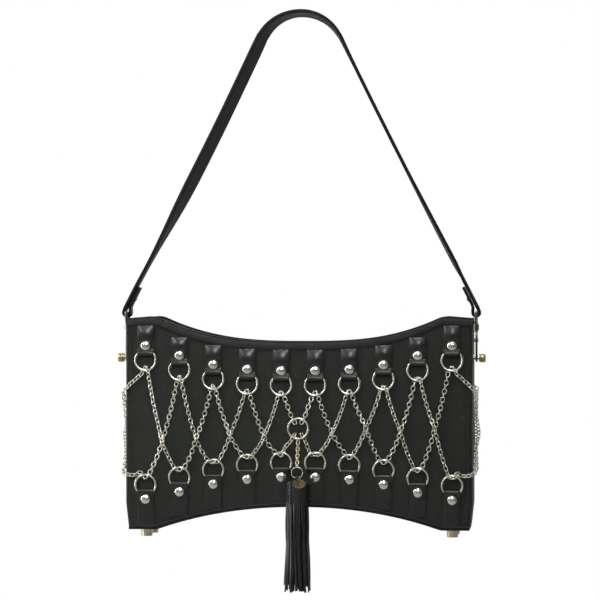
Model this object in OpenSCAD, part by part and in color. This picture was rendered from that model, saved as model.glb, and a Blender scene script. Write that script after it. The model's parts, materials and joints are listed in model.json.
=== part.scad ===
/* [Bag body] */
// Width of the bag over its gussets
bag_w = 291; // [270:1:310]
// Depth of the bag over its front and back panels
bag_d = 60; // [54:1:74]
// Drop from the grip to the rim at the bag's ends
rim_end_drop = 257.5; // [250:0.5:275]
// Height of the bag at its ends
end_h = 176.5; // [172:0.5:190]
// How far the rim dips from its crests to its middle
rim_dip = 21.5; // [14:0.5:24]
// How far the crests stand above the rim's end corners
crest_rise = 2; // [0:0.5:4]
// Distance of the rim's crest from the bag's end
crest_inset = 24.5; // [18:0.5:30]
// How sharply the rim turns up towards its crests
rim_power = 2.75; // [2.2:0.05:3.5]
// How far the bottom edge arches up in the middle
base_rise = 19.2; // [12:0.2:24]
// How sharply the bottom edge turns down towards the feet
base_power = 2.1; // [1.8:0.05:3]
// Thickness of the front and back panels
panel_t = 2; // [1.6:0.1:2.6]
// Thickness of the gussets and the base
gusset_t = 1.8; // [1.4:0.1:2.4]
// How far each side draws in at its foot
foot_taper = 2.5; // [0:0.5:4]
// Height over which the side draws in
taper_h = 22; // [12:1:30]
// Depth of the dip in each gusset's top edge
gusset_dip = 12; // [8:0.5:20]
// Thickness of the lining
lining_t = 0.8; // [0.5:0.1:1.2]
// Height of the facing strip along the rim
facing_h = 6.8; // [5:0.2:9]
// Thickness of the facing strip
facing_t = 1; // [0.8:0.1:1.1]
// Height of the turned seam along the bottom edge
welt_h = 2.5; // [1.5:0.1:4]
// Thickness of the stiffening board in the base
board_t = 1.6; // [1:0.1:2.5]
// Width of the slip pocket inside the back
pocket_w = 160; // [120:5:190]
// Height of the slip pocket inside the back
pocket_h = 72; // [50:2:76]
// Thickness of the slip pocket
pocket_t = 1.2; // [0.8:0.1:1.6]

/* [Tabs, rings and rivets] */
// Tabs in each row
tab_count = 10; // [10:2:10]
// Distance between neighbouring tabs
tab_pitch = 28.6; // [27:0.1:29]
// Width of a tab
tab_w = 14.2; // [13:0.1:16]
// Width of a tab where it folds round its ring
fold_w = 12; // [11:0.1:12]
// Thickness of the tab leather
tab_t = 1.1; // [0.9:0.1:1.4]
// Drop from the rim to the upper rivets
top_rivet_drop = 23.7; // [22:0.1:26]
// Rise from the bottom edge to the lower rivets
bottom_rivet_rise = 25.5; // [24:0.1:28]
// Distance from a rivet to the ring bar in the fold
rivet_to_bar = 6.4; // [6.2:0.1:7.4]
// Length of the doubled layer past each rivet
lap_l = 8.6; // [7:0.1:9.4]
// Diameter of the wire of the rings
ring_wire = 2; // [1.8:0.1:2.2]
// Width of a ring over its wire
ring_w = 19.2; // [18:0.1:20]
// Distance from a ring's centre to its straight bar
bar_inset = 5.6; // [5:0.1:6]
// Tilt of the hanging rings away from the leather
ring_tilt = 5; // [4:0.5:8]
// Diameter of a rivet's domed cap
rivet_d = 8.4; // [7:0.1:9]
// Height of a rivet's domed cap
rivet_h = 2.1; // [1.2:0.1:3]
// Diameter of a rivet's shank
shank_d = 3; // [2:0.1:4]
// Diameter of the flat washer cap inside the bag
burr_d = 5.6; // [4.6:0.1:5.8]
// Thickness of the washer cap
burr_t = 0.8; // [0.5:0.1:1.2]
// Centre of the round middle ring below the rim's middle
centre_ring_drop = 71.9; // [70:0.1:74]
// Diameter of the middle ring over its wire
centre_ring_d = 18.9; // [17:0.1:20]

/* [Chain] */
// Diameter of the chain wire
link_wire = 0.95; // [0.8:0.05:1]
// Diameter of a chain link over its wire
link_d = 5.15; // [5.1:0.05:5.3]
// Slack left where two links bear on each other
link_slack = 0.07; // [0.05:0.01:0.12]
// How far one strand stands over the other at a crossing
cross_lift = 5.35; // [5.3:0.05:6]

/* [Feet and studs] */
// Distance of the feet from the bag's ends
foot_inset = 16.7; // [12:0.1:22]
// Distance of the feet from the front and back faces
foot_edge = 9; // [7:0.5:14]
// Diameter of a foot where it meets the base
foot_d = 10; // [8:0.1:12]
// Diameter of a foot where it meets the ground
foot_tip_d = 9; // [7:0.1:10]
// Height of a foot
foot_h = 6; // [4:0.1:9]
// Drop of the side studs below the rim's end corners
stud_drop = 32.5; // [30:0.5:34]
// Diameter of a stud's knob
knob_d = 7.5; // [7:0.1:9]
// Length of a stud's knob
knob_l = 2.8; // [2:0.1:4]
// Diameter of a stud's neck
neck_d = 3.4; // [2.6:0.1:4]
// Diameter of a stud's collar
collar_d = 6; // [5:0.1:8]
// Thickness of a stud's collar
collar_t = 0.7; // [0.5:0.1:1]

/* [Strap and hooks] */
// Width of the strap
strap_w = 15; // [12:0.5:20]
// Thickness of the strap
strap_t = 3; // [2.4:0.1:3.4]
// Radius of the strap's middle line over the grip
grip_r = 36.8; // [32:0.2:44]
// Length of the strap end that is turned back and sewn
turnback_l = 24; // [18:1:34]
// Thickness of the turned back end
turnback_t = 2.4; // [1.8:0.1:2.8]
// Diameter of the wire of the strap eyes
eye_wire = 2.4; // [2:0.1:2.8]
// Radius of the round part of a strap eye
eye_r = 9.9; // [9.9:0.1:12]
// Distance of the hooks' middle plane from the gussets
hook_out = 2.5; // [2.4:0.1:3]
// Thickness of a hook
hook_t = 3.2; // [2.8:0.1:3.4]
// Inner width of a hook's loop
hook_in_w = 6; // [5.6:0.1:7]
// Width of the hook's bar seen from the side
hook_bar = 2.7; // [2.2:0.1:3.2]
// Length of the hook's loop over its bar
hook_l = 27.5; // [26:0.5:29]
// Diameter of the swivel collar
swivel_d = 4.8; // [4.4:0.1:4.9]
// Length of the swivel collar
swivel_l = 5; // [4:0.1:5.4]
// Diameter of the swivel post
post_d = 3; // [2.4:0.1:3.4]
// Diameter of the gate's hinge pin
gate_pin_d = 1.2; // [1:0.1:1.4]
// Thickness of the gate
gate_t = 1.6; // [1.2:0.1:1.8]

/* [Zip] */
// Depth of the zip's plane below the rim's end corners
zip_drop = 26.35; // [26.25:0.05:26.45]
// Thickness of the zip's leather wings
wing_t = 1.4; // [1:0.1:1.6]
// Length of the front and back wings
wing_l = 208; // [190:1:212]
// Distance of the wings' right ends from the gusset
wing_right_inset = 33.5; // [30:0.5:40]
// Height of the zip teeth
teeth_h = 2.2; // [1.8:0.1:2.4]
// Reach of the teeth and their bead across the zip
teeth_w = 2.3; // [2:0.1:2.6]
// Half of the slit that the slider's post runs in
slit_half = 0.75; // [0.7:0.05:0.9]
// Distance between neighbouring teeth of one row
tooth_pitch = 2.6; // [2.2:0.1:3.2]
// Length of the slider
slider_l = 9; // [7:0.5:10]
// Width of the slider
slider_w = 8.6; // [8:0.1:11]
// Thickness of the slider's two plates
slider_plate = 1; // [0.8:0.1:1.3]
// Length of the pull tab
pull_l = 18; // [12:0.5:19]
// Width of the pull tab
pull_w = 6; // [4:0.5:7]
// Thickness of the pull tab
pull_t = 1.6; // [1.2:0.1:2]

/* [Tassel] */
// Distance of the tassel's axis in front of the front panel
tassel_out = 12.4; // [12.2:0.1:15]
// Distance of the split ring in front of the tassel's axis
split_fwd = 3; // [2:0.1:4]
// Length of the small chain from the middle ring to the split ring
hanger_l = 26.2; // [24:0.1:28]
// Links of the small chain
hanger_links = 4; // [4:1:4]
// Diameter of the small chain's wire
hanger_wire = 0.9; // [0.7:0.05:1]
// Width of the small chain's links
hanger_w = 4.2; // [4.1:0.1:4.8]
// Diameter of the split ring over its wire
split_d = 10.6; // [10:0.1:12]
// Diameter of the split ring's wire
split_wire = 1.3; // [1:0.1:1.5]
// Diameter of the tassel's cap
cap_d = 18.4; // [16:0.1:20]
// Height of the tassel's cap
cap_h = 20; // [16:0.5:24]
// Thickness of the tassel's leather loop
loop_t = 1.2; // [1:0.1:1.6]
// Width of the tassel's leather loop
loop_w = 3; // [2:0.1:3]
// Length of the fringe below the cap
fringe_l = 73; // [40:1:80]
// Diameter of the fringe at its tips
fringe_d = 22.6; // [19:0.1:23]
// Thickness of the fringe's cut strips
strip_t = 1.5; // [1:0.1:2.5]
// Cuts across the fringe, each making two gaps
fringe_cuts = 11; // [8:1:14]
// Width of the gaps between the strips
fringe_gap = 0.5; // [0.3:0.05:0.7]
// Width of the oval tag
tag_w = 10.8; // [9:0.1:11]
// Height of the oval tag
tag_h = 7.6; // [6:0.1:8]
// Thickness of the oval tag
tag_t = 0.9; // [0.7:0.1:1.2]
// Lean of the tag's jump link from straight down as it lies on the cap
tag_link_lean = 80; // [76:1:84]

/* [Hidden] */

$fn = 32;
// Overrun of every cut past the face it leaves
over = 1;
// Radial play of a pin or shank in its hole
play = 0.05;
// Gap between pieces that move past each other
gap = 0.3;
// Straight pieces that each half of a curved edge is drawn with
edge_steps = 12;
steel = [0.80, 0.79, 0.73];
gold = [0.79, 0.74, 0.58];
antique = [0.62, 0.55, 0.38];
hide = [0.16, 0.16, 0.16];
hide_edge = [0.10, 0.10, 0.10];
cloth = [0.24, 0.23, 0.22];

half_w = bag_w / 2;
half_d = bag_d / 2;
rim_end_z = -rim_end_drop;
crest_z = rim_end_z + crest_rise;
rim_mid_z = crest_z - rim_dip;
crest_x = half_w - crest_inset;
base_end_z = rim_end_z - end_h;
base_mid_z = base_end_z + base_rise;
base_flat_x = crest_x;
foot_side_x = half_w - foot_taper;
inner_y = half_d - panel_t - lining_t;
inner_x = half_w - gusset_t - lining_t;

// Height of the rim at a place along the bag
function rim_z(x) = abs(x) <= crest_x
    ? rim_mid_z + rim_dip * pow(abs(x) / crest_x, rim_power)
    : crest_z - crest_rise * (abs(x) - crest_x) / crest_inset;
// Height of the bottom edge at a place along the bag
function base_z(x) = base_end_z + base_rise * (1 - pow(min(abs(x) / base_flat_x, 1), base_power));

// Lays an outline drawn in X and Z against a plane of constant Y
module upright(y_low, t) {
    translate([0, y_low + t, 0]) rotate([90, 0, 0]) linear_extrude(t) children();
}
// Lays an outline drawn as depth and height across the width of a piece
module crosswise(w) {
    rotate([90, 0, -90]) linear_extrude(w, center = true) children();
}
// Outline of a strip between two heights that follow the bag's length
module strip_outline(x_end, low, high) {
    xs = along(x_end);
    last = len(xs) - 1;
    polygon(concat(
        [for (i = [0 : last]) [xs[i], high[i]]],
        [for (i = [last : -1 : 0]) [xs[i], low[i]]]));
}
// Places along the bag, with the ones nearest to the crests moved onto them
function along(x_end) = [for (i = [-edge_steps : edge_steps]) let (x = x_end * i / edge_steps)
    abs(abs(x) - crest_x) < x_end / edge_steps / 2 ? sign(x) * crest_x : x];

// Outline of the front and back panels
module panel_outline(shrink = 0) {
    side = half_w - shrink;
    foot = foot_side_x - shrink;
    xs = along(side);
    low_xs = along(foot);
    polygon(concat(
        [for (x = xs) [x, rim_z(x)]],
        [[side, base_end_z + taper_h]],
        [for (i = [len(low_xs) - 1 : -1 : 0]) [low_xs[i], base_z(low_xs[i]) + shrink]],
        [[-side, base_end_z + taper_h]]));
}

// Places of the tabs, their rivets and their ring bars
function column_x(i) = (i - (tab_count - 1) / 2) * tab_pitch;
function rivet_z(i, up) = up > 0
    ? rim_z(column_x(i)) - top_rivet_drop
    : base_z(column_x(i)) + bottom_rivet_rise;
function bar_z(i, up) = rivet_z(i, up) - up * rivet_to_bar;
columns = [0 : tab_count - 1];
ring_r = (ring_w - ring_wire) / 2;
fold_r = ring_wire / 2 + play + tab_t;

module rivet_holes(y_low, y_high) {
    for (i = columns, up = [-1, 1])
        translate([column_x(i), y_high + over, rivet_z(i, up)])
            rotate([90, 0, 0]) cylinder(d = shank_d + 2 * play, h = y_high - y_low + 2 * over);
}

module front_panel() color(hide) panel();
module back_panel() color(hide) mirror([0, 1, 0]) panel();
module panel() {
    difference() {
        upright(-half_d, panel_t) panel_outline();
        rivet_holes(-half_d, -half_d + panel_t);
    }
}

module gusset_cut(t) {
    half = half_d - panel_t - 2 * gap - lining_t;
    translate([half_w, 0, 0]) crosswise(t) polygon([
        [-half, rim_end_z + over + crest_rise], [half, rim_end_z + over + crest_rise],
        [half - gusset_dip / 2, rim_end_z - gusset_dip],
        [-half + gusset_dip / 2, rim_end_z - gusset_dip]]);
}
module gusset() {
    knee = base_end_z + taper_h;
    difference() {
        upright(-half_d + panel_t, bag_d - 2 * panel_t) polygon([
            [half_w, rim_end_z], [half_w, knee], [foot_side_x, base_end_z],
            [foot_side_x - gusset_t, base_end_z], [half_w - gusset_t, knee],
            [half_w - gusset_t, rim_end_z]]);
        gusset_cut(bag_w / 4);
        translate([half_w - gusset_t - over, 0, rim_end_z - stud_drop]) rotate([0, 90, 0])
            cylinder(d = shank_d + 2 * play, h = gusset_t + 2 * over);
    }
}
module right_gusset() color(hide) gusset();
module left_gusset() color(hide) mirror([1, 0, 0]) gusset();

base_end_x = foot_side_x - gusset_t;
module base_strip(low, t) {
    xs = along(base_end_x);
    strip_outline(base_end_x, [for (x = xs) base_z(x) + low], [for (x = xs) base_z(x) + low + t]);
}
foot_x = half_w - foot_inset;
foot_y = half_d - foot_edge;
module at_feet() {
    for (x = [-1, 1], y = [-1, 1]) translate([x * foot_x, y * foot_y, base_end_z]) children();
}
module foot_holes() {
    at_feet() translate([0, 0, -over])
        cylinder(d = shank_d + 2 * play, h = gusset_t + board_t + 3 * over);
}
module base_panel() color(hide) difference() {
    upright(-half_d + panel_t, bag_d - 2 * panel_t) base_strip(0, gusset_t);
    foot_holes();
}
module base_board() color(hide_edge) difference() {
    upright(-inner_y, 2 * inner_y) base_strip(gusset_t, board_t);
    foot_holes();
}

module facing() {
    xs = along(half_w);
    upright(-half_d - facing_t, facing_t) strip_outline(half_w,
        [for (x = xs) rim_z(x) - facing_h], [for (x = xs) rim_z(x) + facing_t]);
    upright(-half_d, panel_t + lining_t) strip_outline(half_w,
        [for (x = xs) rim_z(x)], [for (x = xs) rim_z(x) + facing_t]);
}
module front_rim_facing() color(hide_edge) union() facing();
module back_rim_facing() color(hide_edge) mirror([0, 1, 0]) union() facing();
module welt() {
    xs = along(foot_side_x);
    upright(-half_d - facing_t, facing_t) strip_outline(foot_side_x,
        [for (x = xs) base_z(x)], [for (x = xs) base_z(x) + welt_h]);
}
module front_base_welt() color(hide_edge) welt();
module back_base_welt() color(hide_edge) mirror([0, 1, 0]) welt();

lining_floor = gusset_t + board_t;
module lining_shape(shrink) {
    side = half_w - gusset_t - shrink;
    foot = foot_side_x - gusset_t - shrink;
    xs = along(side);
    low_xs = along(foot);
    polygon(concat(
        [for (x = xs) [x, rim_z(x) + shrink * over]],
        [[side, base_end_z + taper_h]],
        [for (i = [len(low_xs) - 1 : -1 : 0]) [low_xs[i], base_z(low_xs[i]) + lining_floor + shrink]],
        [[-side, base_end_z + taper_h]]));
}
module lining() color(cloth) difference() {
    upright(-half_d + panel_t, bag_d - 2 * panel_t) lining_shape(0);
    upright(-inner_y, 2 * inner_y) lining_shape(lining_t);
    gusset_cut(bag_w / 4);
    mirror([1, 0, 0]) gusset_cut(bag_w / 4);
    rivet_holes(-half_d + panel_t, -inner_y);
    rivet_holes(inner_y, half_d - panel_t);
    foot_holes_lining();
    translate([-half_w, 0, rim_end_z - stud_drop]) rotate([0, 90, 0])
        cylinder(d = shank_d + 2 * play, h = bag_w);
}
module foot_holes_lining() {
    at_feet() cylinder(d = shank_d + 2 * play, h = lining_floor + lining_t + over);
}
pocket_top = rim_mid_z - top_rivet_drop - burr_d;
module slip_pocket() color(cloth)
    translate([-pocket_w / 2, inner_y - pocket_t - burr_t, pocket_top - pocket_h])
        cube([pocket_w, pocket_t, pocket_h]);

// One folded tab, with up 1 for the rim's row and -1 for the bottom row
module tab(i, up) {
    reach = up > 0
        ? rim_low(column_x(i)) - facing_h - gap - bar_z(i, up)
        : bar_z(i, up) - base_low(column_x(i)) - gap;
    lap = rivet_to_bar + lap_l;
    translate([column_x(i), -half_d, bar_z(i, up)]) difference() {
        crosswise(tab_w) difference() {
            union() {
                translate([fold_r, 0]) circle(r = fold_r);
                polygon([[0, 0], [0, up * reach], [tab_t, up * reach], [tab_t, up * (lap + tab_t)],
                    [2 * tab_t, up * lap], [2 * tab_t, 0]]);
            }
            translate([fold_r, 0]) circle(d = ring_wire + 2 * play);
        }
        for (side = [-1, 1]) translate([side * (fold_w / 2 + tab_w / 2), -fold_r, 0])
            cube([tab_w, 2 * fold_r + over, 2 * fold_r], center = true);
        translate([0, over, up * rivet_to_bar]) rotate([90, 0, 0])
            cylinder(d = shank_d + 2 * play, h = 2 * tab_t + 2 * over);
    }
}
// Lowest clear height above the bottom seam under a whole tab
function base_low(x) = base_z(abs(x) - tab_w / 2) + welt_h;
// Lowest height of the rim over a whole tab
function rim_low(x) = min(rim_z(abs(x) - tab_w / 2), rim_z(abs(x) + tab_w / 2));
module front_top_tabs() color(hide) for (i = columns) tab(i, 1);
module front_bottom_tabs() color(hide) for (i = columns) tab(i, -1);
module back_top_tabs() color(hide) mirror([0, 1, 0]) for (i = columns) tab(i, 1);
module back_bottom_tabs() color(hide) mirror([0, 1, 0]) for (i = columns) tab(i, -1);

// One ring, hung on its straight bar and tilted off the leather
bar_half = sqrt(ring_r * ring_r - bar_inset * bar_inset);
bar_angle = acos(bar_inset / ring_r);
module ring(i, up) {
    translate([column_x(i), -half_d - fold_r, bar_z(i, up)]) mirror([0, 0, up > 0 ? 0 : 1])
        rotate([90 - ring_tilt, 0, 0]) translate([0, -bar_inset, 0]) {
            rotate([0, 0, 90 + bar_angle]) rotate_extrude(angle = 360 - 2 * bar_angle)
                translate([ring_r, 0]) circle(d = ring_wire);
            translate([-bar_half - ring_wire / 4, bar_inset, 0]) rotate([0, 90, 0])
                cylinder(d = ring_wire, h = 2 * bar_half + ring_wire / 2);
        }
}
module ring_rows() {
    for (i = columns, up = [-1, 1]) union() ring(i, up);
}
module front_rings() color(steel) ring_rows();
module back_rings() color(steel) mirror([0, 1, 0]) ring_rows();

dome_r = (rivet_d * rivet_d / 4 + rivet_h * rivet_h) / (2 * rivet_h);
module rivet() {
    stem = 2 * tab_t + panel_t + lining_t;
    rotate_extrude() {
        intersection() {
            translate([0, rivet_h - dome_r]) circle(r = dome_r, $fn = 64);
            square([rivet_d / 2, rivet_h]);
        }
        translate([0, -stem - burr_t]) square([shank_d / 2, stem + burr_t + rivet_h / 2]);
        translate([0, -stem - burr_t]) square([burr_d / 2, burr_t]);
    }
}
module rivet_rows() {
    for (i = columns, up = [-1, 1])
        translate([column_x(i), -half_d - 2 * tab_t, rivet_z(i, up)]) rotate([90, 0, 0]) rivet();
}
module front_rivets() color(steel) rivet_rows();
module back_rivets() color(steel) mirror([0, 1, 0]) rivet_rows();

// Chain: a round link bears on the ring wire at each end of a strand
link_r = (link_d - link_wire) / 2;
pitch_max = 2 * link_r - link_wire - link_slack;
// Distance from the ring wire's middle to the middle of the link round it
seat = link_r - (link_wire + ring_wire) / 2 - link_slack;
// Depth of a strand's middle line in front of the leather
strand_out = fold_r + (bar_inset + ring_r) * sin(ring_tilt);
centre_z = rim_mid_z - centre_ring_drop;
centre_r = (centre_ring_d - ring_wire) / 2;

function unit(v) = v / norm(v);
// Point on a ring's wire, turned a given angle from the ring's far end
function wire_dir(up, a) = [sin(a), -cos(a) * sin(ring_tilt), -up * cos(a) * cos(ring_tilt)];
function wire_axis(up, a) = [cos(a), sin(a) * sin(ring_tilt), up * sin(a) * cos(ring_tilt)];
function wire_point(i, up, a) = [column_x(i), -half_d - fold_r, bar_z(i, up)]
    + bar_inset * wire_dir(up, 0) + ring_r * wire_dir(up, a);
// Point on the middle ring's wire, turned an angle from straight up
function centre_dir(a) = [sin(a), 0, cos(a)];
function centre_axis(a) = [cos(a), 0, -sin(a)];
function centre_point(a) = [0, -half_d - strand_out, centre_z] + centre_r * centre_dir(a);

// One link, given its middle, its direction and the axis that its hole lies on
module link(c, d, n) {
    x = unit(d);
    z = unit(n - (n * x) * x);
    y = cross(z, x);
    multmatrix([
        [x[0], y[0], z[0], c[0]], [x[1], y[1], z[1], c[1]], [x[2], y[2], z[2], c[2]], [0, 0, 0, 1]])
        rotate_extrude($fn = 24) translate([link_r, 0]) circle(d = link_wire, $fn = 14);
}
// Turns a vector about a unit axis
function turned(v, axis, a) = v * cos(a) + cross(axis, v) * sin(a) + axis * (axis * v) * (1 - cos(a));
function edge_axis(d, out) = unit(cross(unit(d), out));

// A run of links through joints, with its two end links on ring wires
module run(joints, outs, first, last) {
    m = len(joints) - 1;
    twist = m % 2 == 0 ? 90 : 0;
    link(first[0], first[1], first[2]);
    link(last[0], last[1], last[2]);
    for (k = [0 : m - 1]) {
        d = joints[k + 1] - joints[k];
        roll = 90 * (k + 1) + twist * (k + 1) / (m + 1);
        link((joints[k] + joints[k + 1]) / 2, d, turned(edge_axis(d, outs[k]), unit(d), roll));
    }
}
function end_link(p, d, axis) = [p + seat * d, d, axis];
function end_joint(p, d) = p + (seat + pitch_max / 2) * d;
// Rise that lets a short strand's links lie almost at their full pitch
function slack_rise(length) =
    let (full = ceil(length / pitch_max) * (pitch_max - link_slack / 2))
    length / PI * sqrt(pow(full / length, 2) - 1);
// Straight strand that may rise over another at its middle
module strand(p, dp, ap, q, dq, aq, lift) {
    a = end_joint(p, dp);
    b = end_joint(q, dq);
    length = norm(b - a);
    stretch = sqrt(1 + pow(PI * lift / length, 2));
    m = ceil(length * stretch / pitch_max);
    joints = [for (k = [0 : m]) a + (b - a) * k / m - [0, lift * pow(sin(180 * k / m), 2), 0]];
    outs = [for (k = [0 : m - 1]) [0, -1, 0]];
    run(joints, outs, end_link(p, dp, ap), end_link(q, dq, aq));
}
// Turn of the strands off each ring's far end
lace_turn = 13;
// Strand across the gap after column i, slanting down to the right when fall is 1
module lace(i, fall) {
    from = fall > 0 ? i : i + 1;
    to = fall > 0 ? i + 1 : i;
    lift = (i % 2 == 0) == (fall > 0) ? cross_lift : 0;
    strand(
        wire_point(from, 1, fall * lace_turn), wire_dir(1, fall * lace_turn), wire_axis(1, fall * lace_turn),
        wire_point(to, -1, -fall * lace_turn), wire_dir(-1, -fall * lace_turn), wire_axis(-1, -fall * lace_turn),
        lift);
}
// Turn of the four short strands off their rings and round the middle ring
short_turn = 24;
centre_turn = 30;
// Short strand from a ring beside the middle to the middle ring
module centre_lace(side, up) {
    i = tab_count / 2 - (side < 0 ? 1 : 0);
    off = -side * short_turn;
    a = up > 0 ? side * centre_turn : side * (180 - centre_turn);
    p = wire_point(i, up, off);
    q = centre_point(a);
    strand(p, wire_dir(up, off), wire_axis(up, off), q, centre_dir(a), centre_axis(a),
        slack_rise(norm(end_joint(q, centre_dir(a)) - end_joint(p, wire_dir(up, off)))));
}
middle_gap = tab_count / 2 - 1;
module front_chain_1() color(steel) for (i = [0, 1], fall = [-1, 1]) lace(i, fall);
module front_chain_2() color(steel) for (i = [2, 3], fall = [-1, 1]) lace(i, fall);
module front_chain_3() color(steel) for (side = [-1, 1], up = [-1, 1]) centre_lace(side, up);
module front_chain_4() color(steel) for (i = [5, 6], fall = [-1, 1]) lace(i, fall);
module front_chain_5() color(steel) for (i = [7, 8], fall = [-1, 1]) lace(i, fall);
module back_chain_1() color(steel) mirror([0, 1, 0]) for (i = [0, 1], fall = [-1, 1]) lace(i, fall);
module back_chain_2() color(steel) mirror([0, 1, 0]) for (i = [2, 3], fall = [-1, 1]) lace(i, fall);
module back_chain_3() color(steel) mirror([0, 1, 0]) for (fall = [-1, 1]) lace(middle_gap, fall);
module back_chain_4() color(steel) mirror([0, 1, 0]) for (i = [5, 6], fall = [-1, 1]) lace(i, fall);
module back_chain_5() color(steel) mirror([0, 1, 0]) for (i = [7, 8], fall = [-1, 1]) lace(i, fall);

// Side strands: round the right end from a front ring to a back ring
side_turn = 38;
turn_l = PI / 2 * strand_out;
// Plan of the route at a distance along it, as a point and its outward direction
function side_plan(q, flat_l) =
    let (a = q - flat_l, b = a - turn_l, c = b - bag_d, e = c - turn_l)
    a < 0 ? [[half_w + a, -half_d - strand_out], [0, -1]]
    : b < 0 ? side_corner(-90 + 90 * a / turn_l, -1)
    : c < 0 ? [[half_w + strand_out, -half_d + b], [1, 0]]
    : e < 0 ? side_corner(90 * c / turn_l, 1)
    : [[half_w - e, half_d + strand_out], [0, 1]];
function side_corner(a, side) = [
    [half_w + strand_out * cos(a), side * half_d + strand_out * sin(a)], [cos(a), sin(a)]];
module side_strand(front_up, lift) {
    last_i = tab_count - 1;
    back_up = -front_up;
    flip = [1, -1, 1];
    p = wire_point(last_i, front_up, side_turn);
    q = flipped(wire_point(last_i, back_up, side_turn));
    dp = wire_dir(front_up, side_turn);
    dq = flipped(wire_dir(back_up, side_turn));
    a = end_joint(p, dp);
    b = end_joint(q, dq);
    flat_l = half_w - a[0];
    back_l = half_w - b[0];
    total = flat_l + back_l + 2 * turn_l + bag_d;
    length = norm([total, a[2] - b[2]]);
    stretch = sqrt(1 + pow(PI * lift / bag_d, 2) * pow(bag_d / length, 2));
    m = ceil(length * stretch / pitch_max) + 1;
    places = [for (k = [0 : m]) side_plan(total * k / m, flat_l)];
    rises = [for (k = [0 : m]) let (t = (total * k / m - flat_l - turn_l) / bag_d)
        t > 0 && t < 1 ? lift * pow(sin(180 * t), 2) : 0];
    joints = [for (k = [0 : m]) k == 0 ? a : k == m ? b : [
        places[k][0][0] + rises[k] * places[k][1][0],
        places[k][0][1] + rises[k] * places[k][1][1],
        a[2] + (b[2] - a[2]) * k / m]];
    outs = [for (k = [0 : m - 1]) let (n = places[k][1] + places[k + 1][1]) [n[0], n[1], 0] / norm(n)];
    run(joints, outs, end_link(p, dp, wire_axis(front_up, side_turn)),
        end_link(q, dq, flipped(wire_axis(back_up, side_turn))));
}
function flipped(v) = [v[0], -v[1], v[2]];
module side_chain() {
    side_strand(1, 0);
    side_strand(-1, cross_lift);
}
module right_side_chain() color(steel) side_chain();
module left_side_chain() color(steel) mirror([1, 0, 0]) side_chain();

module centre_ring() color(steel) translate([0, -half_d - strand_out, centre_z])
    rotate([90, 0, 0]) rotate_extrude() translate([centre_r, 0]) circle(d = ring_wire);

// Side studs: collar, neck and knob turned as one, with a stem into the bag
stud_z = rim_end_z - stud_drop;
neck_l = 2 * hook_out - collar_t;
plate_t = 1.2;
plate_d = 9;
module stud() {
    inside = gusset_t + lining_t;
    rotate_extrude() {
        translate([0, -inside]) square([shank_d / 2, inside + collar_t]);
        square([collar_d / 2, collar_t]);
        square([neck_d / 2, collar_t + neck_l + knob_l / 2]);
        translate([0, collar_t + neck_l]) difference() {
            square([knob_d / 2, knob_l]);
            translate([knob_d / 2, knob_l / 2]) circle(d = knob_l / 3);
        }
    }
}
module side_studs() color(gold) for (side = [0, 1]) mirror([side, 0, 0])
    translate([half_w, 0, stud_z]) rotate([0, 90, 0]) stud();
module stud_plates() color(steel) for (side = [0, 1]) mirror([side, 0, 0])
    translate([inner_x - plate_t, 0, stud_z]) rotate([0, 90, 0]) cylinder(d = plate_d, h = plate_t);

module foot() {
    stem = gusset_t + board_t + lining_t;
    cylinder(d = shank_d, h = stem);
    translate([0, 0, -foot_h]) cylinder(d1 = foot_tip_d, d2 = foot_d, h = foot_h, $fn = 48);
}
module feet() color(gold) at_feet() union() foot();
module foot_washers() color(steel) at_feet()
    translate([0, 0, lining_floor + lining_t]) cylinder(d = burr_d + burr_t, h = burr_t);

// Strap: an arc over the grip and two straight legs down to the strap eyes
hook_x = half_w + hook_out;
hook_low = stud_z - neck_d / 2 - play - hook_bar;
hook_top = hook_low + hook_l;
collar_bottom = hook_top + 2 * play;
eye_z = collar_bottom + swivel_l + eye_r;
arc_z = strap_t / 2 - grip_r;
bar_reach = eye_wire / 2 + play;
leg_off = bar_reach + strap_t / 2;
leg_span = norm([hook_x, arc_z - eye_z]);
leg_lean = atan2(arc_z - eye_z, hook_x);
leg_skew = asin((grip_r - leg_off) / leg_span);
// Angle of the outward normal that the arc and the leg share
leg_normal = 90 - leg_lean - leg_skew;
leg_l = sqrt(leg_span * leg_span - pow(grip_r - leg_off, 2));
module strap_leg() {
    fold = bar_reach + strap_t;
    lap = strap_t + turnback_t;
    translate([hook_x, eye_z]) rotate(leg_normal) difference() {
        union() {
            circle(r = fold);
            translate([bar_reach, 0]) square([strap_t, leg_l]);
            polygon([[-fold, 0], [fold, 0], [fold, turnback_l], [fold - lap, turnback_l],
                [fold - lap, fold + strap_t]]);
        }
        circle(r = bar_reach);
    }
}
module strap() color(hide) rotate([90, 0, 0]) linear_extrude(strap_w, center = true) {
    for (side = [0, 1]) mirror([side, 0]) strap_leg();
    translate([0, arc_z]) intersection() {
        difference() {
            circle(r = grip_r + strap_t / 2, $fn = 96);
            circle(r = grip_r - strap_t / 2, $fn = 96);
        }
        polygon([[0, 0], 2 * grip_r * [cos(leg_normal), sin(leg_normal)], [2 * grip_r, 3 * grip_r],
            [-2 * grip_r, 3 * grip_r], 2 * grip_r * [-cos(leg_normal), sin(leg_normal)]]);
    }
}

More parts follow.
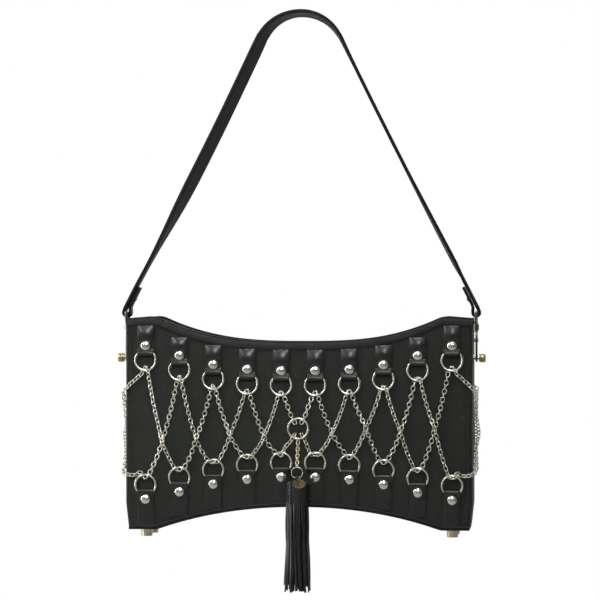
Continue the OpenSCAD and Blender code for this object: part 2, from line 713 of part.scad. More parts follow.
// Hooks: a strap eye with a swivel collar, and a hook that turns in it
collar_top = collar_bottom + swivel_l + eye_wire / 2;
module hook_eye() {
    translate([hook_x, 0, 0]) difference() {
        union() {
            translate([0, 0, eye_z]) rotate([90, 0, 90]) {
                rotate([0, 0, 180]) rotate_extrude(angle = 180)
                    translate([eye_r, 0]) circle(d = eye_wire);
                translate([-eye_r, 0, 0]) rotate([0, 90, 0]) cylinder(d = eye_wire, h = 2 * eye_r);
                for (side = [-1, 1]) translate([side * eye_r, 0, 0]) sphere(d = eye_wire);
            }
            translate([0, 0, collar_bottom]) cylinder(d = swivel_d, h = swivel_l);
        }
        translate([0, 0, collar_bottom - over]) cylinder(d = post_d + 2 * play, h = eye_r);
    }
}
module right_hook_eye() color(steel) hook_eye();
module left_hook_eye() color(steel) mirror([1, 0, 0]) hook_eye();

hook_w = hook_in_w + 2 * hook_bar;
post_head_d = 4.4;
post_head_t = 1.2;
// The gate hangs on the hook's rear bar
gate_y = hook_in_w / 2 + hook_bar / 2;
gate_top = hook_top - hook_w / 2 - hook_bar;
gate_low = hook_low + hook_w / 2 + hook_bar / 4;
module slot_outline(w, low, high) {
    translate([0, low + w / 2]) circle(d = w);
    translate([0, high - w / 2]) circle(d = w);
    translate([-w / 2, low + w / 2]) square([w, high - low - w]);
}
module hook_body() {
    post_top = collar_top + 4 * play;
    translate([hook_x, 0, 0]) difference() {
        union() {
            crosswise(hook_t) difference() {
                slot_outline(hook_w, hook_low, hook_top);
                slot_outline(hook_in_w, hook_low + hook_bar, hook_top - hook_bar);
                translate([-gate_y - hook_bar, gate_low])
                    square([2 * hook_bar, gate_top - gate_low]);
            }
            crosswise(hook_t) translate([-gate_y, gate_top]) circle(d = hook_bar);
            translate([0, 0, hook_top - hook_bar / 2])
                cylinder(d = post_d, h = post_top - hook_top + hook_bar);
            translate([0, 0, post_top]) cylinder(d = post_head_d, h = post_head_t);
        }
        translate([0, gate_y, gate_top]) cube([gate_t + 2 * play, 2 * hook_bar, 2 * hook_bar], center = true);
        translate([-hook_t, gate_y, gate_top]) rotate([0, 90, 0])
            cylinder(d = gate_pin_d + 2 * play, h = 2 * hook_t);
    }
}
module right_hook_body() color(steel) hook_body();
module left_hook_body() color(steel) mirror([1, 0, 0]) hook_body();
module hook_gate() {
    eye_d = hook_bar - 2 * gap;
    translate([hook_x, 0, 0]) difference() {
        crosswise(gate_t) difference() {
            union() {
                translate([-gate_y, gate_top]) circle(d = eye_d);
                translate([-gate_y - gate_t / 2, gate_low + gap])
                    square([gate_t, gate_top - gate_low - gap]);
            }
            translate([-gate_y, gate_top]) circle(d = gate_pin_d + 2 * play);
        }
        translate([gate_t / 2 - spring_wire - play, gate_y, gate_top]) rotate([0, 90, 0])
            cylinder(d = eye_d + play, h = gate_t);
    }
}
module right_hook_gate() color(steel) hook_gate();
module left_hook_gate() color(steel) mirror([1, 0, 0]) hook_gate();
module gate_pins() color(steel) for (side = [0, 1]) mirror([side, 0, 0])
    translate([hook_x - hook_t / 2, gate_y, gate_top]) rotate([0, 90, 0])
        cylinder(d = gate_pin_d, h = hook_t);
// One turn of each gate's torsion spring, beside the gate on its pin
spring_wire = 0.3;
module gate_springs() color(steel) for (side = [0, 1]) mirror([side, 0, 0])
    translate([hook_x + (gate_t - spring_wire) / 2, gate_y, gate_top]) rotate([0, 90, 0])
        rotate_extrude() translate([gate_pin_d / 2 + play + spring_wire / 2, 0]) circle(d = spring_wire);

// Zip: two hinged wings with their teeth, a slider that parks past their ends, and its pull
zip_z = rim_end_z - zip_drop;
wing_right_x = half_w - wing_right_inset;
wing_left_x = wing_right_x - wing_l;
wing_hinge_y = inner_y - gap - wing_t / 2;
wing_edge_y = slit_half + teeth_w;
park_step = 1;
park_x = wing_right_x + gap + park_step + slider_l / 2;
far_park_x = wing_left_x - gap - park_step - pull_l - slider_l / 2;
module between(x_low, x_high) {
    translate([(x_low + x_high) / 2, 0, 0]) crosswise(x_high - x_low) children();
}
module zip_wing() {
    between(wing_left_x, wing_right_x) {
        translate([wing_hinge_y, zip_z]) circle(d = wing_t);
        translate([wing_edge_y, zip_z - wing_t / 2]) square([wing_hinge_y - wing_edge_y, wing_t]);
    }
}
tooth_share = 0.55;
module zip_teeth(shift) {
    count = floor(wing_l / tooth_pitch) - 1;
    root_y = slit_half + teeth_w / 2;
    tooth_l = tooth_pitch * tooth_share;
    translate([0, 0, zip_z - teeth_h / 2]) linear_extrude(teeth_h) polygon(concat(
        [[wing_right_x, -root_y], [wing_right_x, -wing_edge_y], [wing_left_x, -wing_edge_y],
            [wing_left_x, -root_y]],
        [for (i = [0 : count - 1]) let (x = wing_left_x + shift + i * tooth_pitch)
            each [[x, -root_y], [x, -slit_half], [x + tooth_l, -slit_half], [x + tooth_l, -root_y]]]));
}
module front_zip_wing() color(hide) zip_wing();
module back_zip_wing() color(hide) mirror([0, 1, 0]) zip_wing();
module front_zip_teeth() color(gold) zip_teeth(tooth_pitch / 4);
module back_zip_teeth() color(gold) mirror([0, 1, 0]) zip_teeth(3 * tooth_pitch / 4);
module zip_end(x_low, x_high, slit_low, slit_high) {
    difference() {
        translate([x_low, -inner_y, zip_z - wing_t / 2]) cube([x_high - x_low, 2 * inner_y, wing_t]);
        translate([slit_low, -slit_half, zip_z - wing_t])
            cube([slit_high - slit_low, 2 * slit_half, 2 * wing_t]);
    }
}
module zip_end_panels() color(hide) {
    slot = slider_l / 2 + gap;
    zip_end(wing_right_x + gap, inner_x, wing_right_x - over, park_x + slot);
    zip_end(-inner_x, wing_left_x - gap, far_park_x - slot, wing_left_x + over);
}
pin_d = 1.2;
ear_t = 0.8;
pull_eye_d = 3;
pull_z = zip_z + teeth_h / 2 + gap + slider_plate + pull_eye_d / 2 + gap;
module zip_slider() color(gold) {
    plate_low = teeth_h / 2 + gap;
    lip_low = wing_t / 2 + gap;
    lip_w = slider_w / 2 - wing_edge_y - gap;
    between(park_x - slider_l / 2, park_x + slider_l / 2) translate([0, zip_z]) {
        for (side = [0, 1]) mirror([0, side]) {
            translate([-slider_w / 2, plate_low]) square([slider_w, slider_plate]);
            for (x = [-slider_w / 2, slider_w / 2 - lip_w]) translate([x, lip_low])
                square([lip_w, plate_low - lip_low + play]);
        }
        square([2 * (slit_half - gap), 2 * plate_low + slider_plate], center = true);
    }
    for (side = [-1, 1]) translate([park_x, side * (pull_t / 2 + gap + ear_t / 2), 0])
        rotate([90, 0, 0]) linear_extrude(ear_t, center = true) {
            translate([0, pull_z]) circle(d = pull_eye_d - 2 * gap);
            translate([-pull_eye_d / 2 + gap, zip_z + plate_low + slider_plate / 2])
                square([pull_eye_d - 2 * gap, pull_z - zip_z - plate_low - slider_plate / 2]);
        }
    translate([park_x, 0, pull_z]) rotate([90, 0, 0])
        cylinder(d = pin_d, h = pull_t + 2 * gap + 2 * ear_t, center = true);
}
module zip_pull() color(gold) translate([park_x, 0, pull_z]) {
    neck = pull_eye_d / 2 + 2 * gap + pull_eye_d / 4;
    difference() {
        union() {
            rotate([90, 0, 0]) cylinder(d = pull_eye_d, h = pull_t, center = true);
            translate([0, -pull_t / 2, -pull_t / 2]) cube([neck, pull_t, pull_t]);
            translate([neck, -pull_w / 2, -pull_t / 2]) cube([pull_l - neck - pull_w / 2, pull_w, pull_t]);
            translate([pull_l - pull_w / 2, 0, -pull_t / 2]) cylinder(d = pull_w, h = pull_t);
        }
        rotate([90, 0, 0]) cylinder(d = pin_d + 2 * play, h = 2 * pull_t, center = true);
    }
}

// Tassel: small chain, split ring, cap with its loop, fringe, and the blank tag
tassel_y = -half_d - tassel_out;
split_r = (split_d - split_wire) / 2;
split_y = tassel_y - split_fwd;
hang_y = -half_d - strand_out;
hang_z = centre_z - centre_r;
split_top_z = hang_z - sqrt(hanger_l * hanger_l - pow(split_y - hang_y, 2));
split_z = split_top_z - split_r;
loop_z = split_z - split_r;
// Half of a small link's inner length, from the length that the links share out
hanger_half = (hanger_l + (ring_wire + split_wire) / 2 + (hanger_links - 1) * hanger_wire
    + (hanger_links + 1) * link_slack) / (2 * hanger_links);
// A long link about its middle, along d, with its hole along n
module long_link(c, d, n, half_in, w, wire) {
    x = unit(d);
    z = unit(n - (n * x) * x);
    y = cross(z, x);
    bend = (w - wire) / 2;
    straight = half_in + wire / 2 - bend;
    multmatrix([
        [x[0], y[0], z[0], c[0]], [x[1], y[1], z[1], c[1]], [x[2], y[2], z[2], c[2]], [0, 0, 0, 1]])
        union() for (side = [0, 1]) rotate([0, 0, 180 * side]) {
            translate([straight, 0, 0]) rotate([0, 0, -90]) rotate_extrude(angle = 180)
                translate([bend, 0]) circle(d = wire);
            translate([-straight - play, bend, 0]) rotate([0, 90, 0])
                cylinder(d = wire - play, h = 2 * (straight + play));
        }
}
module hanger_chain() color(steel) {
    top = [0, hang_y, hang_z];
    d = unit([0, split_y, split_top_z] - top);
    first = hanger_half - ring_wire / 2 - link_slack;
    pitch = 2 * hanger_half - hanger_wire - link_slack;
    for (k = [0 : hanger_links - 1])
        long_link(top + (first + k * pitch) * d, d, turned([1, 0, 0], d, 120 * k),
            hanger_half, hanger_w, hanger_wire);
}
module split_ring() color(steel) translate([0, split_y, split_z])
    rotate([90, 0, 0]) rotate_extrude() translate([split_r, 0]) circle(d = split_wire);

loop_play = 0.15;
loop_r = split_wire / 2 + loop_play + loop_t;
cap_top = loop_z - loop_r - gap;
cap_bottom = cap_top - cap_h;
cap_round = 2.4;
module tassel_cap() color(hide) difference() {
    union() {
        translate([0, split_y, 0]) crosswise(loop_w) {
            translate([0, loop_z]) circle(r = loop_r);
            translate([-loop_r, cap_top - cap_round / 2]) square([2 * loop_r, loop_r + cap_round / 2]);
        }
        translate([0, tassel_y, cap_top]) rotate_extrude($fn = 64) difference() {
            union() {
                translate([0, -cap_h]) square([cap_d / 2, cap_h - cap_round]);
                translate([0, -cap_round]) square([cap_d / 2 - cap_round, cap_round]);
                translate([cap_d / 2 - cap_round, -cap_round]) circle(r = cap_round);
            }
            translate([-cap_d, -cap_h]) square([cap_d, 2 * cap_h]);
        }
    }
    translate([0, split_y, split_z]) rotate([90, 0, 0]) rotate_extrude()
        translate([split_r, 0]) circle(d = split_wire + 2 * loop_play);
}
module tassel_skirt() color(hide) translate([0, tassel_y, cap_bottom - fringe_l]) difference() {
    cylinder(d1 = fringe_d, d2 = cap_d + strip_t / 2, h = fringe_l, $fn = 64);
    for (k = [0 : fringe_cuts - 1]) rotate([0, 0, 180 * k / fringe_cuts])
        translate([-fringe_d, -fringe_gap / 2, -over])
            cube([2 * fringe_d, fringe_gap, fringe_l - strip_t + over]);
}

// Tag: a blank oval plate on a long jump link that hangs beside the loop
tag_side = 30;
tag_wire = 0.8;
tag_link_w = 4;
tag_hang = [split_r * sin(tag_side), split_y, split_z - split_r * cos(tag_side)];
tag_link_dir = [0, -sin(tag_link_lean), -cos(tag_link_lean)];
tag_back_y = tassel_y - cap_d / 2 - gap;
tag_mid_y = tag_back_y - tag_t / 2;
tag_leg = (tag_link_w - tag_wire) / 2;
tag_near = (split_wire + tag_wire) / 2 + link_slack;
tag_far = (split_y - tag_mid_y + tag_leg) / sin(tag_link_lean);
tag_hole_z = tag_hang[2] + (tag_mid_y - split_y) / tan(tag_link_lean) - tag_leg / sin(tag_link_lean);
tag_strip = 1.7;
module tag() color(antique) translate([tag_hang[0], tag_back_y, tag_hole_z]) rotate([90, 0, 0])
    linear_extrude(tag_t) difference() {
        translate([0, tag_strip - tag_h / 2]) polygon([for (a = [0 : 10 : 350])
            [tag_w / 2 * cos(a), tag_h / 2 * sin(a)]]);
        circle(d = tag_wire + 4 * loop_play);
    }
module tag_ring() color(antique) long_link(
    tag_hang + (tag_far - tag_near) / 2 * tag_link_dir, tag_link_dir, [1, 0, 0],
    (tag_far + tag_near - tag_wire) / 2, tag_link_w, tag_wire);

strap();
left_hook_eye();
right_hook_eye();
left_hook_body();
right_hook_body();
left_hook_gate();
right_hook_gate();
gate_pins();
gate_springs();
front_panel();
back_panel();
left_gusset();
right_gusset();
base_panel();
front_rim_facing();
back_rim_facing();
front_base_welt();
back_base_welt();
lining();
base_board();
slip_pocket();
front_top_tabs();
front_bottom_tabs();
back_top_tabs();
back_bottom_tabs();
front_rings();
back_rings();
front_rivets();
back_rivets();
centre_ring();
front_chain_1();
front_chain_2();
front_chain_3();
front_chain_4();
front_chain_5();
left_side_chain();
right_side_chain();
back_chain_1();
back_chain_2();
back_chain_3();
back_chain_4();
back_chain_5();
side_studs();
stud_plates();
feet();
foot_washers();
front_zip_wing();
front_zip_teeth();
back_zip_wing();
back_zip_teeth();
zip_end_panels();
zip_slider();
zip_pull();
hanger_chain();
split_ring();
tassel_cap();
tassel_skirt();
tag();
tag_ring();
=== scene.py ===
import json
import random
from math import asin, atan2, cos, dist, exp, hypot, pi, radians, sin, sqrt

import bmesh
import bpy
from mathutils import Matrix, Vector, noise


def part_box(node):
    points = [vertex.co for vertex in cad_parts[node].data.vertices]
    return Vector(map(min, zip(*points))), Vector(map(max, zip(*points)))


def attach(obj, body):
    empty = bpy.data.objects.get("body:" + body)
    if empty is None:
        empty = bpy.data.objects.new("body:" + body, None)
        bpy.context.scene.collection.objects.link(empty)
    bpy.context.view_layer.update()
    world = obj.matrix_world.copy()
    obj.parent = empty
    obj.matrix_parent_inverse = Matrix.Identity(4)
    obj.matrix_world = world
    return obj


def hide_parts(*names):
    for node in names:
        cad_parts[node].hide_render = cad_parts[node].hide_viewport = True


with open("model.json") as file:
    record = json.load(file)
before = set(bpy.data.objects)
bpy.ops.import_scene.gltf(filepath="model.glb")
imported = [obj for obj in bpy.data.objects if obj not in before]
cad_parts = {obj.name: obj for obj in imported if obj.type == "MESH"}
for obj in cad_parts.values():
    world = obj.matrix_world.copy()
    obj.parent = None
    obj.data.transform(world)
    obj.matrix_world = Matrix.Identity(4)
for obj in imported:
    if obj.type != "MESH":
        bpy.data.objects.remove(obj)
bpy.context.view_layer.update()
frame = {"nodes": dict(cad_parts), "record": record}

MM = 0.001

# Sizes of the bag in millimetres, as the CAD model has them
HALF_W = 145.5
HALF_D = 30.0
RIM_END = -257.5
CREST_Z = -255.5
CREST_X = 121.0
CREST_ROUND = 3.4
RIM_MID = -277.0
RIM_POWER = 2.75
BASE_END = -434.0
BASE_RISE = 19.2
BASE_POWER = 2.1
FOOT_TAPER = 2.5
TAPER_H = 22.0
PANEL_T = 2.0
GUSSET_T = 1.8
LINING_T = 0.8
FACING_H = 6.8
FACING_T = 1.0
WELT_H = 2.5
INSIDE_Y = HALF_D - PANEL_T
INNER_Y = INSIDE_Y - LINING_T
INNER_X = HALF_W - GUSSET_T - LINING_T
BASE_X = HALF_W - FOOT_TAPER - GUSSET_T
GUSSET_DIP = 12.0
GUSSET_CORNER, GUSSET_SLOPE = 26.6, 7.0

TAB_COUNT = 10
TAB_PITCH = 28.6
TAB_W = 14.2
FOLD_W = 12.0
TAB_T = 1.1
TOP_DROP = 23.7
LOW_RISE = 25.5
RIVET_TO_BAR = 6.4
LAP_L = 8.6
SEAT_R, SEAT_BEAD, SEAT_RISE = 4.75, 0.6, 0.45
RING_WIRE = 1.95
RING_R = 8.6
BAR_INSET = 5.6
RING_TILT = radians(5)
FOLD_R = 2.15
STRAND_Y = HALF_D + FOLD_R + (BAR_INSET + RING_R) * sin(RING_TILT)
CENTRE_Z = -348.9
CENTRE_R = 8.45

HOOK_X = 148.0
EYE_Z = -251.95
EYE_BAR = 1.25
STRAP_W = 15.0
STRAP_T = 3.0
STRAP_R = 36.8
ARC_Z = STRAP_T / 2 - STRAP_R

ZIP_Z = -283.85
WING_LEFT, WING_RIGHT = -96.0, 112.0
HINGE_Y = 26.2
WING_T = 1.4
TEETH_EDGE = 3.05
SLIT_HALF = 0.75

TASSEL_Y = -42.4
SPLIT_Y = -45.4
SPLIT_R = 4.65
SPLIT_Z = -385.28
CAP_R = 9.25
CAP_H = 20.0
FRINGE_L = 73.0

SIDES = (("front", -1), ("back", 1))
ENDS = (("left", -1), ("right", 1))


def spread(start, end, count):
    return [start + (end - start) * i / (count - 1) for i in range(count)]


def whole_turn(count):
    return [2 * pi * k / count for k in range(count)]


def ease(t):
    t = min(max(t, 0.0), 1.0)
    return t * t * (3 - 2 * t)


def sharp_rim_z(x):
    a = abs(x)
    if a <= CREST_X:
        return RIM_MID + (CREST_Z - RIM_MID) * (a / CREST_X) ** RIM_POWER
    return CREST_Z - (CREST_Z - RIM_END) * (a - CREST_X) / (HALF_W - CREST_X)


def rim_z(x):
    """The rim with its crests rounded off."""
    a = min(abs(x), HALF_W - CREST_ROUND)
    near = sum(sharp_rim_z(a + CREST_ROUND * k / 2) for k in (-2, -1, 0, 1, 2)) / 5
    return near + sharp_rim_z(abs(x)) - sharp_rim_z(a)


def base_z(x):
    return BASE_END + BASE_RISE * (1 - min(abs(x) / CREST_X, 1) ** BASE_POWER)


def side_x(z):
    return HALF_W - FOOT_TAPER * min(max((BASE_END + TAPER_H - z) / TAPER_H, 0), 1)


def gusset_top(y):
    return RIM_END - GUSSET_DIP * ease((GUSSET_CORNER - abs(y)) / GUSSET_SLOPE)


def column_x(i):
    return (i - (TAB_COUNT - 1) / 2) * TAB_PITCH


def rivet_z(i, up):
    return rim_z(column_x(i)) - TOP_DROP if up > 0 else base_z(column_x(i)) + LOW_RISE


def bar_z(i, up):
    return rivet_z(i, up) - up * RIVET_TO_BAR


# Node trees

def rgb(r, g, b):
    return (r, g, b, 1.0)


def socket_kind(value):
    if isinstance(value, str):
        return "NodeSocket" + value
    if isinstance(value, tuple):
        return "NodeSocketVector" if len(value) == 3 else "NodeSocketColor"
    return "NodeSocketInt" if isinstance(value, int) else "NodeSocketFloat"


class Net:
    """A node tree with named sockets, and short words for the nodes in it."""

    def __init__(self, tree, inputs=None, outputs=None):
        self.tree = tree
        for side, sockets in (("INPUT", inputs or {}), ("OUTPUT", outputs or {})):
            for name, value in sockets.items():
                item = tree.interface.new_socket(name, in_out=side, socket_type=socket_kind(value))
                if not isinstance(value, str):
                    item.default_value = value
        if inputs:
            self.given = tree.nodes.new("NodeGroupInput")
            self.result = tree.nodes.new("NodeGroupOutput")

    def __getitem__(self, name):
        return self.given.outputs[name]

    def give(self, *values):
        for socket, value in zip(self.result.inputs, values):
            self.tree.links.new(value, socket)
        return self.tree

    def add(self, kind, values=(), **props):
        made = self.tree.nodes.new(kind)
        for key, value in props.items():
            setattr(made, key, value)
        for key, value in dict(values).items():
            if isinstance(value, bpy.types.NodeSocket):
                self.tree.links.new(value, made.inputs[key])
            else:
                made.inputs[key].default_value = value
        return made

    def get(self, kind, values=(), out=0, **props):
        return self.add(kind, values, **props).outputs[out]

    def maths(self, operation, a, b=0.0, clamp=False):
        return self.get("ShaderNodeMath", {0: a, 1: b}, operation=operation, use_clamp=clamp)

    def plus(self, a, b, clamp=False):
        return self.maths("ADD", a, b, clamp)

    def minus(self, a, b):
        return self.maths("SUBTRACT", a, b)

    def times(self, a, b, clamp=False):
        return self.maths("MULTIPLY", a, b, clamp)

    def ramp(self, value, low, high, to_low=0.0, to_high=1.0):
        return self.get("ShaderNodeMapRange", {
            "Value": value, "From Min": low, "From Max": high, "To Min": to_low,
            "To Max": to_high}, "Result", interpolation_type="SMOOTHSTEP")

    def mix(self, fac, a, b, blend="MIX"):
        return self.get("ShaderNodeMix", {0: fac, 6: a, 7: b}, 2, data_type="RGBA", blend_type=blend)

    def grey(self, level):
        return self.get("ShaderNodeCombineColor", {"Red": level, "Green": level, "Blue": level})

    def clouds(self, scale, detail, distortion=0.0):
        return self.get("ShaderNodeTexNoise", {
            "Vector": self["Vector"], "Scale": scale, "Detail": detail, "Distortion": distortion}, "Fac")

    def bands(self, direction, distortion, detail=2.0):
        return self.get("ShaderNodeTexWave", {
            "Vector": self["Vector"], "Scale": self["Thread scale"], "Distortion": distortion,
            "Detail": detail}, "Fac", wave_type="BANDS", bands_direction=direction)


def surface_group(name, inputs):
    """A finish that puts out its colour, roughness and height."""
    return Net(bpy.data.node_groups.new(name, "ShaderNodeTree"), {"Vector": (0.0, 0.0, 0.0), **inputs},
               {"Colour": "Color", "Roughness": "Float", "Height": "Float"})


# Pebbled hide: pores and creases as a height, slow colour change and worn gloss as masks; a painted sheen
# lightens the raised creases, more on worn patches, and painted shade darkens the hollows between the pebbles
def make_hide_group():
    net = surface_group("hide_grain", {
        "Colour": rgb(0.03, 0.03, 0.03), "Painted sheen colour": rgb(0.06, 0.065, 0.06), "Pebble scale": 1100.0,
        "Roughness": 0.5, "Wear": 0.5})
    pebble = net.get("ShaderNodeTexVoronoi", {"Vector": net["Vector"], "Scale": net["Pebble scale"]},
                     "Distance", feature="DISTANCE_TO_EDGE")
    pores, creases, slow = net.clouds(2600.0, 2.0), net.clouds(210.0, 4.0, 0.6), net.clouds(24.0, 2.0)
    cell = net.ramp(pebble, 0.0, 0.16)
    height = net.plus(net.times(cell, 0.55), net.times(pores, 0.3))
    height = net.plus(height, net.times(creases, 0.9))
    worn = net.times(net.ramp(slow, 0.45, 0.72), net["Wear"])
    # Painted sheen: the lighter sheen colour on the raised creases, stronger where the hide is worn
    sheen_and_wear_mask = net.times(net.ramp(creases, 0.4, 0.75), net.plus(worn, 0.25), clamp=True)
    colour = net.mix(sheen_and_wear_mask, net["Colour"], net["Painted sheen colour"])
    # Painted shade: the colour is darkened towards the edges of each pebble, in the grain's hollows
    colour = net.mix(1.0, colour, net.grey(net.plus(net.times(cell, 0.3), 0.7)), "MULTIPLY")
    rough = net.minus(net["Roughness"], net.times(worn, 0.14))
    return net.give(colour, net.plus(rough, net.times(pores, 0.08), clamp=True), height)


# Polished plating: fine wipe marks, faint tarnish in patches
def make_plate_group():
    net = surface_group("plate_polish", {
        "Colour": rgb(0.7, 0.69, 0.6), "Tarnish colour": rgb(0.4, 0.36, 0.24), "Tarnish": 0.3,
        "Roughness": 0.16})
    patches, wipes = net.clouds(160.0, 4.0), net.clouds(900.0, 3.0, 2.0)
    mask = net.times(net.ramp(patches, 0.48, 0.72), net["Tarnish"], clamp=True)
    rough = net.plus(net["Roughness"], net.times(mask, 0.25))
    return net.give(net.mix(mask, net["Colour"], net["Tarnish colour"]),
                    net.plus(rough, net.times(wipes, 0.1), clamp=True), wipes)


# Twill cloth: diagonal ribs crossed by the weft, with slubs
def make_twill_group():
    net = surface_group("twill_weave", {
        "Colour": rgb(0.05, 0.047, 0.043), "Thread colour": rgb(0.09, 0.085, 0.08),
        "Thread scale": 320.0})
    ribs, weft, slubs = net.bands("DIAGONAL", 0.4, 1.0), net.bands("Z", 0.3), net.clouds(90.0, 3.0)
    height = net.plus(net.times(ribs, 0.7), net.times(weft, 0.3))
    fac = net.times(height, net.plus(slubs, 0.2), clamp=True)
    return net.give(net.mix(fac, net["Colour"], net["Thread colour"]),
                    net.plus(net.times(slubs, 0.1), 0.78), height)


HIDE = make_hide_group()
PLATE = make_plate_group()
TWILL = make_twill_group()


def finish_material(name, group, inputs, bump, depth, metallic=0.0, specular=0.5, coat=0.0,
                    coat_rough=0.3, sheen=0.0):
    made = bpy.data.materials.new(name)
    made.use_nodes = True
    net = Net(made.node_tree)
    shader = net.tree.nodes["Principled BSDF"]
    place = net.get("ShaderNodeTexCoord", out="Object")
    body = net.add("ShaderNodeGroup", {"Vector": place, **inputs}, node_tree=group).outputs
    relief = net.get("ShaderNodeBump", {"Strength": bump, "Distance": depth, "Height": body["Height"]})
    for socket, value in (("Base Color", body["Colour"]), ("Roughness", body["Roughness"]),
                          ("Normal", relief)):
        net.tree.links.new(value, shader.inputs[socket])
    for socket, value in (("Metallic", metallic), ("Specular IOR Level", specular),
                          ("Coat Weight", coat), ("Coat Roughness", coat_rough),
                          ("Sheen Weight", sheen)):
        shader.inputs[socket].default_value = value
    return made


# Slot: name, colour, painted sheen colour, pebble scale, roughness, wear, relief, its depth, specular, wax
HIDES = {
    "body_leather": ("soft_black_hide", (0.0142, 0.0167, 0.0136), (0.0265, 0.0298, 0.0248),
                     1150.0, 0.55, 0.55, 0.35, 0.00012, 0.3, 0.0),
    "facing_leather": ("facing_hide", (0.0165, 0.0182, 0.0155), (0.027, 0.0295, 0.0255),
                       950.0, 0.48, 0.7, 0.35, 0.00012, 0.36, 0.0),
    "edge_leather": ("painted_hide_edge", (0.006, 0.0065, 0.006), (0.012, 0.0125, 0.0115),
                     700.0, 0.6, 0.4, 0.2, 0.0001, 0.2, 0.0),
    "tab_leather": ("waxed_tab_hide", (0.007, 0.0085, 0.0072), (0.0125, 0.0155, 0.013),
                    900.0, 0.4, 0.6, 0.3, 0.00012, 0.28, 0.6),
    "strap_leather": ("strap_hide", (0.017, 0.0185, 0.015), (0.033, 0.035, 0.028),
                      1000.0, 0.45, 0.6, 0.3, 0.0001, 0.5, 0.0),
    "zip_leather": ("wing_hide", (0.022, 0.022, 0.021), (0.035, 0.035, 0.033),
                    1100.0, 0.5, 0.4, 0.3, 0.0001, 0.5, 0.0),
    "tassel_leather": ("tassel_hide", (0.0062, 0.0075, 0.0075), (0.017, 0.0205, 0.021),
                       1500.0, 0.34, 0.7, 0.25, 0.00008, 0.58, 0.0),
}
# Slot: name, colour, tarnish colour, tarnish, roughness
METALS = {
    "nickel": ("warm_nickel", (0.78, 0.765, 0.69), (0.5, 0.47, 0.36), 0.25, 0.13),
    "chain_nickel": ("chain_nickel", (0.72, 0.71, 0.63), (0.4, 0.37, 0.27), 0.45, 0.2),
    "pale_gold": ("pale_gold", (0.66, 0.6, 0.42), (0.3, 0.25, 0.12), 0.5, 0.2),
    "old_brass": ("old_brass", (0.42, 0.36, 0.2), (0.16, 0.12, 0.06), 0.7, 0.24),
    "zip_metal": ("zip_metal", (0.62, 0.57, 0.42), (0.3, 0.26, 0.14), 0.5, 0.24),
    "antique_brass": ("antique_brass", (0.24, 0.195, 0.11), (0.07, 0.052, 0.026), 1.0, 0.3),
    # The hooks' nickel: the same nickel darkened, painted shade
    "shaded_hook_nickel": ("shaded_hook_nickel", (0.25, 0.24, 0.19), (0.08, 0.075, 0.05), 0.7, 0.25),
    "spring_steel": ("spring_steel", (0.5, 0.5, 0.5), (0.3, 0.28, 0.25), 0.4, 0.3),
}
MATERIALS = {
    "lining_cloth": finish_material("twill_lining", TWILL, {}, 0.4, 0.0002, specular=0.25, sheen=0.2),
    "board": finish_material("fibre_board", TWILL, {
        "Colour": rgb(0.03, 0.028, 0.025), "Thread colour": rgb(0.06, 0.055, 0.05),
        "Thread scale": 140.0}, 0.2, 0.0002),
    "thread": finish_material("black_thread", TWILL, {
        "Colour": rgb(0.003, 0.003, 0.003), "Thread colour": rgb(0.012, 0.012, 0.011),
        "Thread scale": 900.0}, 0.4, 0.00008, specular=0.2),
}
# The second colour of each hide is its painted sheen colour
for slot, (name, colour, sheen, scale, rough, wear, relief, depth, gloss, wax) in HIDES.items():
    MATERIALS[slot] = finish_material(name, HIDE, {
        "Colour": rgb(*colour), "Painted sheen colour": rgb(*sheen), "Pebble scale": scale,
        "Roughness": rough, "Wear": wear}, relief, depth, specular=gloss, coat=wax,
        coat_rough=0.22 if wax else 0.3)
for slot, (name, colour, tarnished, amount, rough) in METALS.items():
    relief, depth = (0.2, 0.00005) if slot == "antique_brass" else (0.05, 0.00003)
    MATERIALS[slot] = finish_material(name, PLATE, {
        "Colour": rgb(*colour), "Tarnish colour": rgb(*tarnished), "Tarnish": amount,
        "Roughness": rough}, relief, depth, metallic=1.0)

# Every CAD node that stays in view takes its slot's finish; the hooks and gate pins take a darkened copy of
# the nickel instead, as painted shade
for row in frame["record"]["subparts"]:
    shape = frame["nodes"][row["node"]].data
    shape.materials.clear()
    in_painted_shade = "hook_" in row["node"] or row["node"] == "gate_pins"
    shape.materials.append(MATERIALS["shaded_hook_nickel" if in_painted_shade else row["material_slot"]])


# Mesh helpers; points are in millimetres

def in_scene(name, data):
    made = bpy.data.objects.new(name, data)
    bpy.context.scene.collection.objects.link(made)
    return made


def in_metres(points):
    return [tuple(c * MM for c in p) for p in points]


def dress(piece, body, nodes, angle=0):
    """Gives a piece its body and hides the nodes it replaces, with corners past the angle kept crisp."""
    if angle:
        piece.data.set_sharp_from_angle(angle=radians(angle))
    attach(piece, body)
    if nodes:
        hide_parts(*nodes)


